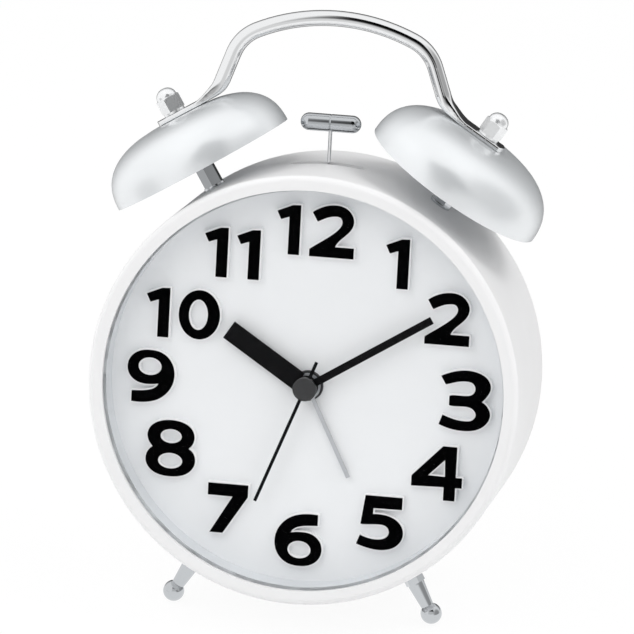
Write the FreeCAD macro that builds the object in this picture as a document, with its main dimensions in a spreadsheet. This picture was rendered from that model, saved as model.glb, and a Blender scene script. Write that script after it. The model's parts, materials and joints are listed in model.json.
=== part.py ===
"""Twin-bell quartz alarm clock, as a parametric FreeCAD document.

Clock axes while modelling: X to the right as seen from the front, Y into the clock, Z up
along the dial, with the origin at the centre of the front rim. Every sub-part then gets the
standing placement: the clock leans back on its two front feet and the rear edge of its drum,
and the origin of the finished model lies on the table, under the middle of the bounding box.
Bearings are degrees clockwise from twelve o'clock, seen from the front.
"""
import FreeCAD, Part
import math
import os
import re
import Sketcher
from FreeCAD import Placement, Rotation, Vector

doc = FreeCAD.newDocument("twin_bell_alarm_clock")

# ---------------------------------------------------------------- driving dimensions (mm, degrees)
SIZES = {
    # drum
    "drum_radius": 60,
    "drum_depth": 51.5,
    "drum_wall": 2,
    "front_round": 1.6,
    "rear_round": 1,
    "lip_thickness": 1.5,
    "lip_reach": 2,
    # clearances
    "fit_gap": 0.1,
    "running_gap": 0.05,
    "thread_gap": 0.02,
    "seat_gap": 0.05,
    "overlap": 0.5,
    # front: lens, ring, dial
    "lens_thickness": 1.5,
    "lens_chamfer": 0.3,
    "ring_height": 7.8,
    "ring_wall": 2.5,
    "dial_thickness": 1.2,
    # numerals
    "numeral_inset": 12.3,
    "numeral_height": 13.9,
    "numeral_rise": 2,
    "numeral_border": 0.35,
    "ink_thickness": 0.15,
    # hands
    "hand_thickness": 0.4,
    "hand_spacing": 1.35,
    "hand_standoff": 1.2,
    "alarm_hand_length": 27.8,
    "alarm_hand_width": 1.1,
    "alarm_hub_radius": 3.7,
    "alarm_hand_bearing": 152.7,
    "hour_hand_length": 26.7,
    "hour_hand_width": 5.6,
    "hour_hub_radius": 3.2,
    "hour_hand_bearing": 302.5,
    "minute_hand_length": 40.4,
    "minute_hand_width": 2.1,
    "minute_hub_radius": 2.8,
    "minute_hand_bearing": 57.4,
    "second_hand_length": 34.9,
    "second_hand_tail": 8.2,
    "second_hand_width": 0.9,
    "second_hub_radius": 2.2,
    "second_hand_bearing": 200.8,
    "cap_radius": 3.35,
    "cap_thickness": 0.9,
    "cap_round": 0.3,
    # chassis
    "chassis_wall": 2,
    "web_thickness": 1.5,
    "cover_boss_radius": 3.2,
    "cover_screw_inset": 7.9,
    "stud_boss_radius": 4,
    "stud_boss_length": 8,
    "shelf_half_width": 22,
    "shelf_thickness": 1.5,
    "shelf_gap": 2.5,
    "shelf_depth": 20.5,
    # back cover
    "cover_recess": 6.5,
    "cover_thickness": 2,
    "screw_radius": 1.2,
    "screw_head_radius": 2.5,
    "screw_head_height": 1.4,
    "screw_head_round": 0.55,
    "screw_slot_width": 0.6,
    "screw_slot_depth": 0.7,
    "screw_length": 11,
    # battery bay
    "battery_radius": 7.25,
    "battery_length": 50.5,
    "battery_inset": 17.5,
    "battery_back_gap": 2.25,
    "battery_button_radius": 2.6,
    "battery_button_length": 1,
    "saddle_offset": 15,
    "saddle_width": 3,
    "saddle_height": 14,
    "bay_end_gap": 1.4,
    "bay_wall": 1.5,
    "contact_thickness": 0.4,
    "contact_half_width": 4.4,
    "dimple_radius": 2.2,
    "dimple_tip_radius": 1.1,
    "door_length": 54,
    "door_height": 15,
    "door_gap": 0.15,
    "door_rib_inset": 4,
    "door_rib_pitch": 2,
    "door_rib_width": 1,
    "door_rib_height": 0.5,
    # movement case
    "movement_half_size": 27,
    "movement_wall": 1.2,
    "bushing_radius": 4.2,
    "bushing_wall": 1.35,
    "bushing_front": 0.9,
    # coaxial tubes
    "arbor_radius": 0.5,
    "cannon_wall": 0.65,
    "hour_tube_wall": 0.75,
    "alarm_tube_wall": 0.75,
    # gears
    "gear_module": 0.35,
    "wheel_thickness": 1,
    "layer_pitch": 1.6,
    "pivot_radius": 0.4,
    "stem_radius": 1.25,
    "stem_pivot_radius": 0.6,
    "knob_radius": 6.4,
    "knob_height": 4.6,
    "knob_gap": 0.4,
    "knob_chamfer": 0.5,
    "scallop_radius": 0.85,
    "scallop_offset": 0.4,
    "third_bearing": 15,
    "intermediate_bearing": 270,
    "rotor_bearing": 350,
    "minute_wheel_bearing": 180,
    "alarm_stem_bearing": 110,
    # motor and board
    "magnet_radius": 2.5,
    "magnet_length": 2,
    "magnet_gap": 0.4,
    "stator_thickness": 1,
    "stator_gap": 1.4,
    "stator_left": 9,
    "stator_right": 15,
    "stator_limb": 3,
    "stator_pole_half": 4.6,
    "stator_post_offset": 5.1,
    "stator_post_drop": 2,
    "stator_post_radius": 1,
    "coil_radius": 3,
    "coil_length": 15,
    "coil_gap": 0.8,
    "coil_back_gap": 0.3,
    "board_thickness": 1,
    "board_half_width": 4.5,
    "board_gap": 0.3,
    "board_post_height": 20.6,
    "board_post_radius": 2,
    # alarm switch
    "switch_across": 24,
    "switch_up": 8,
    "switch_width": 4,
    "switch_length": 5,
    "switch_travel": 4,
    # bells, posts, handle
    "ringer_depth": 26.3,
    "bell_angle": 31.85,
    "bell_radius": 26.65,
    "bell_height": 15,
    "bell_seat_radius": 5,
    "bell_sheet": 1,
    "bell_gap": 6.95,
    "stud_radius": 1.5,
    "stud_past_hex": 0.6,
    "post_across_flats": 5.1,
    "washer_radius": 3.1,
    "washer_thickness": 0.6,
    "nut_across_flats": 6,
    "nut_collar_radius": 3.1,
    "nut_collar_height": 0.65,
    "nut_hex_height": 3.85,
    "nut_height": 7.4,
    "handle_radius": 2.2,
    "handle_rise": 18.5,
    "handle_top_radius": 53,
    "handle_corner_radius": 12,
    "handle_leg_slope": 70.4,
    "handle_leg_inset": 14.8,
    "handle_leg_rise": 13.5,
    "handle_bend_radius": 6,
    "tab_width": 7,
    "tab_thickness": 1.4,
    "tab_reach": 5.6,
    "tab_flat": 6.5,
    # hammer and ringer
    "slot_half_length": 10.6,
    "slot_width": 4.4,
    "pivot_rise": 9,
    "hammer_rise": 11.3,
    "hammer_length": 17,
    "hammer_radius": 2.45,
    "rod_radius": 0.5,
    "rod_socket_rise": 15,
    "rod_socket_wall": 1,
    "pin_radius": 0.75,
    "lever_hub_radius": 2.6,
    "lever_reach": 14,
    "lever_thickness": 1.4,
    "lever_half_depth": 2.25,
    "lever_arm_drop": 0.1,
    "ringer_frame_sheet": 1.2,
    "ringer_half_depth": 7.5,
    "ringer_half_length": 18,
    "ear_half_width": 4,
    "ear_rise": 12,
    "ringer_coil_offset": 11,
    "ringer_coil_radius": 4.5,
    "ringer_coil_height": 6,
    "ringer_core_radius": 2,
    "ringer_core_height": 7,
    # feet
    "foot_angle": 30,
    "foot_depth": 20,
    "foot_across_flats": 5,
    "foot_hex_height": 3.6,
    "foot_collar": 0.5,
    "foot_cone_top": 2.4,
    "foot_cone_bottom": 1.8,
    "foot_ball_radius": 3,
    "foot_length": 13.2,
}

sheet = doc.addObject("Spreadsheet::Sheet", "sizes")
for row, (name, value) in enumerate(SIZES.items(), 1):
    sheet.set(f"A{row}", name)
    sheet.set(f"B{row}", str(value))
    sheet.setAlias(f"B{row}", name)
doc.recompute()


def bind(text):
    """Expression on the sheet's cells, from one that uses the bare names of the sizes."""
    def cell(word):
        return f"sizes.{word.group()}" if word.group() in SIZES else word.group()

    return re.sub(r"[a-z]\w*", cell, text)


def size(text):
    """Number that an expression in the sizes' names comes to."""
    return float(sheet.evalExpression(bind(text)))


# ---------------------------------------------------------------- derived places (expressions)
INNER_RADIUS = "(drum_radius - drum_wall)"
DROP_IN_RADIUS = "(drum_radius - drum_wall - fit_gap)"
OPENING_RADIUS = f"({INNER_RADIUS} - lip_reach)"
RING_INNER_RADIUS = f"({DROP_IN_RADIUS} - ring_wall)"
RING_FRONT = "(lip_thickness + lens_thickness)"
DIAL_FRONT = f"({RING_FRONT} + ring_height)"
DIAL_BACK = f"({DIAL_FRONT} + dial_thickness)"
COVER_BACK = "(drum_depth - cover_recess)"
COVER_FRONT = "(drum_depth - cover_recess - cover_thickness)"
MOVEMENT_FRONT = f"({DIAL_BACK} + web_thickness)"
PLATE_BACK = f"({MOVEMENT_FRONT} + movement_wall)"
FIRST_LAYER = f"({PLATE_BACK} + 0.5 * wheel_thickness)"
STATOR_FRONT = f"({FIRST_LAYER} + 6 * layer_pitch + wheel_thickness + stator_gap)"
STATOR_BACK = f"({STATOR_FRONT} + stator_thickness)"
STATOR_MIDDLE = f"({STATOR_FRONT} + stator_thickness / 2)"
MOVEMENT_BACK = f"({STATOR_MIDDLE} + coil_radius + coil_back_gap + movement_wall)"
MOVEMENT_INSIDE = "(movement_half_size - movement_wall)"
COIL_UP = f"({MOVEMENT_INSIDE} - coil_radius - coil_gap)"
BOARD_ACROSS = f"({MOVEMENT_INSIDE} - board_half_width - board_gap)"
BATTERY_DEPTH = f"({COVER_FRONT} - battery_back_gap - battery_radius)"
BATTERY_UP = f"(battery_inset - {DROP_IN_RADIUS})"
SCREW_CIRCLE = f"({DROP_IN_RADIUS} - cover_screw_inset)"
SHELF_TOP = "(movement_half_size + shelf_gap + shelf_thickness)"
FRAME_TOP = f"({SHELF_TOP} + ringer_frame_sheet)"
PIVOT_UP = f"({SHELF_TOP} + pivot_rise)"
EAR_TOP = f"({SHELF_TOP} + ear_rise)"
HAMMER_UP = "(drum_radius + hammer_rise)"
RIM_DISTANCE = "(drum_radius + bell_gap)"
CROWN_DISTANCE = f"({RIM_DISTANCE} + bell_height)"
FOOT_BALL = "(drum_radius + foot_length)"
STUD_BOTTOM = f"({DROP_IN_RADIUS} - stud_boss_length)"
CANNON_RADIUS = "(arbor_radius + running_gap + cannon_wall)"
HOUR_TUBE_RADIUS = f"({CANNON_RADIUS} + running_gap + hour_tube_wall)"
ALARM_TUBE_RADIUS = f"({HOUR_TUBE_RADIUS} + running_gap + alarm_tube_wall)"


def hand_front(level):
    """Front face of a hand: level 0 is the alarm hand, 3 the second hand."""
    return f"({DIAL_FRONT} - hand_standoff - hand_thickness - {level} * hand_spacing)"


def layer(number):
    """Front face of a layer of wheels behind the movement's front plate."""
    return f"({FIRST_LAYER} + {number} * layer_pitch)"


# ---------------------------------------------------------------- standing placement
def lean_angle():
    """Backward lean at which the two ball feet and the rear edge of the drum stand on one plane."""
    along = size("drum_depth - rear_round - foot_depth")
    down = size(f"drum_radius - rear_round - {FOOT_BALL} * cos(foot_angle * 1deg)")
    radius_step = size("foot_ball_radius - rear_round")
    return math.atan2(along, down) - math.acos(radius_step / math.hypot(along, down))


def standing_placement():
    lean = lean_angle()
    sine = math.sin(lean)
    cosine = math.cos(lean)
    ball_drop = size(f"{FOOT_BALL} * cos(foot_angle * 1deg)")
    lowest = -size("foot_depth") * sine - ball_drop * cosine - size("foot_ball_radius")
    nearest = size("front_round") * (cosine - 1) - size("drum_radius - front_round") * sine
    farthest = size("drum_depth - rear_round") * cosine + size("drum_radius - rear_round") * sine
    middle = (nearest + farthest + size("rear_round")) / 2
    return Placement(Vector(0, -middle, -lowest), Rotation(Vector(1, 0, 0), -math.degrees(lean)))


STAND = standing_placement()
SUBPARTS = []


def radial(bearing, depth):
    """Placement whose Z axis leaves the drum's axis at a bearing, at a depth behind the rim."""
    return Placement(Vector(0, depth, 0), Rotation(Vector(0, 1, 0), bearing))


def polar(distance, bearing):
    """Across and up of a point at a distance and bearing from the dial's centre."""
    angle = math.radians(bearing)
    return distance * math.sin(angle), distance * math.cos(angle)


# ---------------------------------------------------------------- PartDesign helpers
def new_body(label, placement=Placement()):
    body = doc.addObject("PartDesign::Body", label)
    body.Label = label
    body.Placement = STAND.multiply(placement)
    SUBPARTS.append(body)
    return body


def new_sketch(body, plane, offset="0"):
    """Sketch on one of the body's origin planes, moved along the plane's normal."""
    sketch = body.newObject("Sketcher::SketchObject", f"{body.Label}_sketch")
    support = [item for item in body.Origin.OriginFeatures if item.Role == plane][0]
    sketch.AttachmentSupport = [(support, "")]
    sketch.MapMode = "FlatFace"
    sketch.setExpression("AttachmentOffset.Base.z", bind(offset))
    return sketch


def hold(sketch, kind, target, text):
    """Dimension a point's distance from the sketch's origin, bound to the sheet."""
    value = size(text)
    index = sketch.addConstraint(Sketcher.Constraint(kind, -1, 1, target[0], target[1], value))
    if re.search(r"[a-z]", text):
        sketch.setExpression(f"Constraints[{index}]", bind(text))


def draw_outline(sketch, corners):
    """Closed outline. A corner is (across, up), or (across, up, radius) where the stretch that ends
    at it is an arc: a positive radius turns anticlockwise, and "-..." turns clockwise."""
    places = [(size(corner[0]), size(corner[1])) for corner in corners]
    first = sketch.GeometryCount
    starts = []
    ends = []
    for number, corner in enumerate(corners):
        here = Vector(*places[number - 1], 0)
        there = Vector(*places[number], 0)
        start_point = 1
        if len(corner) == 2:
            geometry = Part.LineSegment(here, there)
        else:
            turn = -1 if corner[2].startswith("-") else 1
            radius = size(corner[2].lstrip("-"))
            chord = there - here
            side = Vector(-chord.y, chord.x, 0) / chord.Length * turn
            centre = (here + there) / 2 + side * math.sqrt(max(radius**2 - chord.Length**2 / 4, 0))
            low, high = (here, there) if turn > 0 else (there, here)
            start_angle = math.atan2(low.y - centre.y, low.x - centre.x)
            end_angle = math.atan2(high.y - centre.y, high.x - centre.x)
            if end_angle < start_angle:
                end_angle += 2 * math.pi
            circle = Part.Circle(centre, Vector(0, 0, 1), radius)
            geometry = Part.ArcOfCircle(circle, start_angle, end_angle)
            start_point = 1 if turn > 0 else 2
        index = sketch.addGeometry(geometry)
        starts.append((index, start_point))
        ends.append((index, 3 - start_point))
        if len(corner) == 3:
            radius_index = sketch.addConstraint(Sketcher.Constraint("Radius", index, radius))
            sketch.setExpression(f"Constraints[{radius_index}]", bind(corner[2].lstrip("-")))
    count = sketch.GeometryCount - first
    for number in range(count):
        after = starts[(number + 1) % count]
        sketch.addConstraint(Sketcher.Constraint("Coincident", *ends[number], *after))
        hold(sketch, "DistanceX", ends[number], corners[number][0])
        hold(sketch, "DistanceY", ends[number], corners[number][1])


def draw_circle(sketch, across, up, radius):
    circle = Part.Circle(Vector(size(across), size(up), 0), Vector(0, 0, 1), size(radius))
    index = sketch.addGeometry(circle)
    hold(sketch, "DistanceX", (index, 3), across)
    hold(sketch, "DistanceY", (index, 3), up)
    radius_index = sketch.addConstraint(Sketcher.Constraint("Radius", index, size(radius)))
    sketch.setExpression(f"Constraints[{radius_index}]", bind(radius))


def box_corners(left, right, bottom, top):
    return [(left, bottom), (right, bottom), (right, top), (left, top)]


def revolve(body, corners, plane="XY_Plane"):
    """Turned piece. On XY_Plane corners are (radius, depth) and the axis is the clock's depth;
    on XZ_Plane they are (radius, height) and the axis is the body's own Z."""
    sketch = new_sketch(body, plane)
    draw_outline(sketch, corners)
    feature = body.newObject("PartDesign::Revolution", f"{body.Label}_turned")
    feature.Profile = sketch
    feature.ReferenceAxis = (sketch, ["V_Axis"])
    feature.Angle = 360
    doc.recompute()
    return feature


def plate(body, front, back, outlines=(), circles=()):
    """Flat piece across the dial's plane, from a front depth to a back depth."""
    sketch = new_sketch(body, "XZ_Plane", f"-({back})")
    for corners in outlines:
        draw_outline(sketch, corners)
    for circle in circles:
        draw_circle(sketch, *circle)
    feature = body.newObject("PartDesign::Pad", f"{body.Label}_pad")
    feature.Profile = sketch
    feature.setExpression("Length", bind(f"({back}) - ({front})"))
    doc.recompute()
    return feature


def cut(body, front, back, outlines=(), circles=()):
    """Pocket across the dial's plane, from a front depth to a back depth."""
    sketch = new_sketch(body, "XZ_Plane", f"-({front})")
    for corners in outlines:
        draw_outline(sketch, corners)
    for circle in circles:
        draw_circle(sketch, *circle)
    before = body.Shape.Volume
    feature = body.newObject("PartDesign::Pocket", f"{body.Label}_pocket")
    feature.Profile = sketch
    feature.setExpression("Length", bind(f"({back}) - ({front})"))
    doc.recompute()
    if not body.Shape.Volume < before:
        raise RuntimeError(f"{body.Label}: a pocket cut nothing")
    return feature


def cut_up(body, bottom, top, corners):
    """Pocket straight up, from a bottom height to a top height. Corners are (across, depth)."""
    sketch = new_sketch(body, "XY_Plane", bottom)
    draw_outline(sketch, corners)
    before = body.Shape.Volume
    feature = body.newObject("PartDesign::Pocket", f"{body.Label}_pocket")
    feature.Profile = sketch
    feature.Reversed = True
    feature.setExpression("Length", bind(f"({top}) - ({bottom})"))
    doc.recompute()
    if not body.Shape.Volume < before:
        raise RuntimeError(f"{body.Label}: a pocket cut nothing")
    return feature


def cylinder(body, kind, radius, height, placement, start="0"):
    """Additive or subtractive cylinder along the placement's Z, from a start distance."""
    feature = body.newObject(f"PartDesign::{kind}Cylinder", f"{body.Label}_{kind.lower()}")
    feature.setExpression("Radius", bind(radius))
    feature.setExpression("Height", bind(height))
    feature.Placement = placement.multiply(Placement(Vector(0, 0, size(start)), Rotation()))
    doc.recompute()
    return feature


# ---------------------------------------------------------------- Part helpers
def new_feature(label, shape, placement=Placement()):
    own_place = shape.Placement
    feature = doc.addObject("Part::Feature", label)
    feature.Label = label
    feature.Shape = shape
    feature.Placement = STAND.multiply(placement).multiply(own_place)
    SUBPARTS.append(feature)
    return feature


def turned_disc(radius, front, back, across=0, up=0):
    """Cylinder along the clock's depth."""
    return Part.makeCylinder(radius, back - front, Vector(across, front, up), Vector(0, 1, 0))


def hex_prism(across_flats, bottom, top):
    """Hexagonal bar along Z, with a flat facing the front."""
    corner = across_flats / math.sqrt(3)
    angles = [math.radians(60 * side) for side in range(7)]
    points = [Vector(corner * math.cos(angle), corner * math.sin(angle), bottom) for angle in angles]
    return Part.Face(Part.makePolygon(points)).extrude(Vector(0, 0, top - bottom))


# ---------------------------------------------------------------- case
def make_case_drum():
    """Drum with its front lip in one piece, open at the back."""
    body = new_body("case_drum")
    revolve(body, [
        (OPENING_RADIUS, "0"),
        ("drum_radius - front_round", "0"),
        ("drum_radius", "front_round", "front_round"),
        ("drum_radius", "drum_depth - rear_round"),
        ("drum_radius - rear_round", "drum_depth", "rear_round"),
        (INNER_RADIUS, "drum_depth"),
        (INNER_RADIUS, "lip_thickness"),
        (OPENING_RADIUS, "lip_thickness"),
    ])
    end = "(slot_half_length - slot_width / 2)"
    near = "ringer_depth - slot_width / 2"
    far = "ringer_depth + slot_width / 2"
    cut_up(body, "0", "drum_radius + drum_wall", [
        (f"-{end}", near, "slot_width / 2"),
        (end, near),
        (end, far, "slot_width / 2"),
        (f"-{end}", far),
    ])
    for bearing, depth in stud_places():
        cylinder(body, "Subtractive", "stud_radius + fit_gap", "drum_radius + drum_wall",
                 radial(bearing, depth))


def stud_places():
    """Bearing and depth of the two posts and the two feet."""
    bell = size("bell_angle")
    foot = size("180 - foot_angle")
    ringer = size("ringer_depth")
    front = size("foot_depth")
    return [(-bell, ringer), (bell, ringer), (foot, front), (-foot, front)]


def make_lens():
    body = new_body("lens")
    revolve(body, [
        ("0", "lip_thickness"),
        (DROP_IN_RADIUS, "lip_thickness"),
        (DROP_IN_RADIUS, f"{RING_FRONT} - lens_chamfer"),
        (f"{DROP_IN_RADIUS} - lens_chamfer", RING_FRONT),
        ("0", RING_FRONT),
    ])


def make_dial_spacer_ring():
    body = new_body("dial_spacer_ring")
    revolve(body, [
        (RING_INNER_RADIUS, RING_FRONT),
        (DROP_IN_RADIUS, RING_FRONT),
        (DROP_IN_RADIUS, DIAL_FRONT),
        (RING_INNER_RADIUS, DIAL_FRONT),
    ])


def make_dial():
    body = new_body("dial")
    plate(body, DIAL_FRONT, DIAL_BACK, circles=[
        ("0", "0", DROP_IN_RADIUS),
        ("0", "0", "bushing_radius + fit_gap"),
    ])


# ---------------------------------------------------------------- numerals
# Each glyph is a list of outlines, the first one solid and the others its counters. An outline is
# a list of strokes that each start where the last one ended: one point makes a straight stroke,
# several make a smooth curve through them. A counter can also be an ellipse: centre and half sizes.
# Millimetres at the design height, from the glyph's lower left.
DESIGN_HEIGHT = 13.9
GLYPHS = {
    "0": [("ellipse", 5.87, 7.07, 5.8, 6.9), ("ellipse", 5.6, 7.05, 2.68, 4.27)],
    "1": [[[(6.57, 0)], [(6.57, 13.9)], [(4.3, 13.8)], [(0, 11.95)], [(1.15, 9.65)], [(3.44, 10.5)],
           [(3.44, 0)]]],
    "2": [[[(12.5, 0)], [(12.5, 3)], [(7.2, 3)],
           [(9.3, 5.75), (11.55, 8.2), (12.15, 10.4), (11.3, 12.65), (9.5, 14.1), (6.9, 14.6), (3.6, 14),
            (0.55, 12.3)],
           [(2.1, 9.75)],
           [(4.9, 11.1), (6.9, 11.5), (8.4, 11.2), (8.95, 10), (8.4, 8.5), (6.6, 6.65), (3.4, 4.3),
            (0.1, 2)],
           [(0.1, 0)]]],
    "3": [[[(0.15, 1.45)],
           [(3.5, 0.4), (7.2, 0.05), (10.9, 0.7), (13.4, 2.55), (14.3, 5), (13.6, 7), (11.8, 8.5)],
           [(13.4, 10.5), (14.1, 12.6), (13.2, 14.9), (10.9, 16.4), (7.2, 17), (3.6, 16.4), (0.15, 15)],
           [(1.6, 12.7)],
           [(4.6, 13.6), (7.4, 13.95), (9.2, 13.4), (9.85, 12), (9.2, 10.5), (7.2, 9.85), (2.75, 9.55)],
           [(2.75, 7)],
           [(7.2, 6.9), (9.4, 6.3), (10.3, 4.8), (9.5, 3.3), (7.4, 2.8), (4.7, 3.05), (1.1, 4.15)]]],
    "4": [[[(9.2, 0)], [(12.4, 0)], [(12.4, 3.75)], [(14.2, 3.75)], [(14.2, 6.6)], [(12.4, 6.6)],
           [(12.4, 15.2)], [(8.45, 15.2)], [(0.1, 6.4)], [(0.1, 3.5)], [(9.2, 3.75)]],
          [[(9.4, 6.65)], [(4.65, 6.75)], [(9.2, 11.4)]]],
    "5": [[[(12.45, 15.2)], [(12.45, 11.8)], [(4.5, 11.7)], [(4.4, 10)],
           [(8.3, 9.85), (11.2, 8.6), (12.85, 6.4), (12.85, 3.6), (11.1, 1.3), (7.8, 0.1), (4, 0.25),
            (0.1, 1.3)],
           [(1.05, 3.9)],
           [(3.3, 3.15), (5.6, 2.9), (7.9, 3.4), (9.1, 4.9), (8.5, 6.6), (6.9, 7.2), (1.05, 7.1)],
           [(2.1, 15.2)]]],
    "6": [[[(11.95, 14.8)],
           [(7.6, 14.7), (4.6, 13.8), (2, 11.8), (0.4, 8.9), (0.15, 5.7), (1.3, 2.7), (3.9, 0.6), (7.2, 0),
            (10.5, 0.6), (12.8, 2.6), (13.4, 5.1), (12.6, 7.5), (10.6, 9.1), (8, 9.65), (4.5, 9.3)],
           [(5.2, 10.3), (7.2, 11.25), (9.5, 11.6), (11.95, 11.75)]],
          ("ellipse", 7.07, 4.62, 3.25, 2.48)],
    "7": [[[(11.4, 13.95)], [(11.4, 10.6)], [(4.75, 0)], [(1.05, 0)], [(7.1, 10.5)], [(0.1, 10.55)],
           [(0.1, 13.95)]]],
    "8": [[[(0.3, 6.3), (0.05, 4.1), (1.4, 1.7), (4, 0.35), (7, 0), (10, 0.35), (12.6, 1.7), (13.95, 4.1),
            (13.7, 6.4), (12, 8.15)],
           [(13.3, 9.9), (13.55, 11.6), (12.6, 13.9), (10.2, 15.4), (6.9, 15.9), (3.6, 15.4), (1.2, 13.9),
            (0.25, 11.6), (0.6, 9.9), (1.9, 8.15)]],
          ("ellipse", 6.95, 11.38, 3, 1.98), ("ellipse", 6.97, 4.42, 3.42, 2.2)],
}

# Numeral: glyphs with their left edges, then the shift of its lower left corner's nominal place, so
# that the ink looks evenly spread over the dial.
NUMERAL_LAYOUT = {
    1: ([("1", 0)], (6.57, 13.9), (1.7, -1.0)),
    2: ([("2", 0)], (12.5, 14.6), (0.8, 0.55)),
    3: ([("3", 0)], (14.3, 17), (1.1, -0.3)),
    4: ([("4", 0)], (14.2, 15.2), (0.2, 0.45)),
    5: ([("5", 0)], (12.9, 15.2), (0.85, 0.7)),
    6: ([("6", 0)], (13.4, 14.8), (-0.2, -0.2)),
    7: ([("7", 0)], (11.4, 13.95), (0.9, 1.1)),
    8: ([("8", 0)], (14, 15.9), (0.0, 1.0)),
    9: ([("6", 0)], (13.4, 15), (-0.8, -0.8)),
    10: ([("1", 0), ("0", 9.15)], (20.85, 13.95), (1.6, -4.0)),
    11: ([("1", 0), ("1", 9.0)], (15.55, 13.9), (-1.3, -1.7)),
    12: ([("1", 0), ("2", 9.3)], (21.5, 14.6), (0.0, 0.75)),
}


def outline_face(outline, scale):
    """Flat face in the dial's plane from one glyph outline."""
    if outline[0] == "ellipse":
        across, up, half_across, half_up = [number * scale for number in outline[1:]]
        tall = half_up > half_across
        ellipse = Part.Ellipse(Vector(0, 0, 0), max(half_up, half_across), min(half_up, half_across))
        edge = ellipse.toShape()
        edge.rotate(Vector(0, 0, 0), Vector(0, 0, 1), 90 if tall else 0)
        edge.rotate(Vector(0, 0, 0), Vector(1, 0, 0), 90)
        edge.translate(Vector(across, 0, up))
        return Part.Face(Part.Wire([edge]))
    pen = outline[-1][-1]
    edges = []
    for stroke in outline:
        path = [Vector(across * scale, 0, up * scale) for across, up in [pen] + stroke]
        if len(path) == 2:
            edges.append(Part.LineSegment(*path).toShape())
        else:
            curve = Part.BSplineCurve()
            curve.interpolate(path)
            edges.append(curve.toShape())
        pen = stroke[-1]
    return Part.Face(Part.Wire(edges))


def grown(face, distance):
    """Face whose outline lies a distance outside the given one, or inside it where negative."""
    outline = face.makeOffset2D(distance).OuterWire.toNurbs()
    return Part.Face(outline.Wires[0])


def glyph_face(glyph, scale, border, upside_down, extent):
    """Face of one glyph with its counters cut out, grown by a border all round. A nine is a six
    turned half round."""
    solid, *counters = [outline_face(outline, scale) for outline in GLYPHS[glyph]]
    if border:
        solid = grown(solid, border)
        counters = [grown(counter, -border) for counter in counters]
    for counter in counters:
        solid = solid.cut(counter)
    face = solid.Faces[0]
    if upside_down:
        centre = Vector(extent[0] * scale / 2, 0, extent[1] * scale / 2)
        face.rotate(centre, Vector(0, 1, 0), 180)
    return face


def extrude_deep(face, front, back):
    """Solid from a face in the plane of depth zero, between two depths."""
    solid = face.extrude(Vector(0, back - front, 0))
    solid.translate(Vector(0, front, 0))
    return solid


def make_numerals():
    """White raised blocks, one node for each hour, and the black faces printed on them."""
    scale = size("numeral_height") / DESIGN_HEIGHT
    block_front = size(f"{DIAL_FRONT} - numeral_rise")
    dial_front = size(DIAL_FRONT)
    ink_front = block_front - size("ink_thickness")
    inks = []
    for hour, (glyphs, extent, shift) in NUMERAL_LAYOUT.items():
        across, up = polar(size(f"{RING_INNER_RADIUS} - numeral_inset"), 30 * hour)
        left = across + (shift[0] - extent[0] / 2) * scale
        bottom = up + (shift[1] - extent[1] / 2) * scale
        blocks = []
        for glyph, offset in glyphs:
            corner = Vector(left + offset * scale, 0, bottom)
            block = glyph_face(glyph, scale, size("numeral_border"), hour == 9, extent)
            ink = glyph_face(glyph, scale, 0, hour == 9, extent)
            block.translate(corner)
            ink.translate(corner)
            blocks.append(extrude_deep(block, block_front, dial_front))
            inks.append(extrude_deep(ink, ink_front, block_front))
        new_feature(f"numeral_{hour}", Part.makeCompound(blocks) if len(blocks) > 1 else blocks[0])
    new_feature("numeral_faces", Part.makeCompound(inks))


# ---------------------------------------------------------------- hands
def make_hand(label, level, bearing, width, length, tail, hub, bore):
    """Flat hand: straight bar from its tail to its tip, with a round hub on its tube."""
    body = new_body(label, Placement(Vector(), Rotation(Vector(0, 1, 0), size(bearing))))
    front = hand_front(level)
    back = f"({front} + hand_thickness)"
    half = f"{width} / 2"
    inside_hub = f"({bore} + {hub}) / 2"
    plate(body, front, back, circles=[("0", "0", hub), ("0", "0", bore)])
    plate(body, front, back, [box_corners(f"-{half}", half, inside_hub, length)])
    if tail:
        plate(body, front, back, [box_corners(f"-{half}", half, f"-{tail}", f"-{inside_hub}")])


def make_hands():
    make_hand("alarm_hand", 0, "alarm_hand_bearing", "alarm_hand_width", "alarm_hand_length", "",
              "alarm_hub_radius", f"{ALARM_TUBE_RADIUS} + thread_gap")
    make_hand("hour_hand", 1, "hour_hand_bearing", "hour_hand_width", "hour_hand_length", "",
              "hour_hub_radius", f"{HOUR_TUBE_RADIUS} + thread_gap")
    make_hand("minute_hand", 2, "minute_hand_bearing", "minute_hand_width", "minute_hand_length", "",
              "minute_hub_radius", f"{CANNON_RADIUS} + thread_gap")
    make_hand("second_hand", 3, "second_hand_bearing", "second_hand_width", "second_hand_length",
              "second_hand_tail", "second_hub_radius", "arbor_radius + thread_gap")
    body = new_body("second_hand_cap")
    cap_front = f"{hand_front(3)} - cap_thickness"
    revolve(body, [
        ("0", cap_front),
        ("cap_radius - cap_round", cap_front),
        ("cap_radius", f"{cap_front} + cap_round", "cap_round"),
        ("cap_radius", hand_front(3)),
        ("0", hand_front(3)),
    ])


# ---------------------------------------------------------------- chassis and back
DOOR_RIBS = 4


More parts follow.
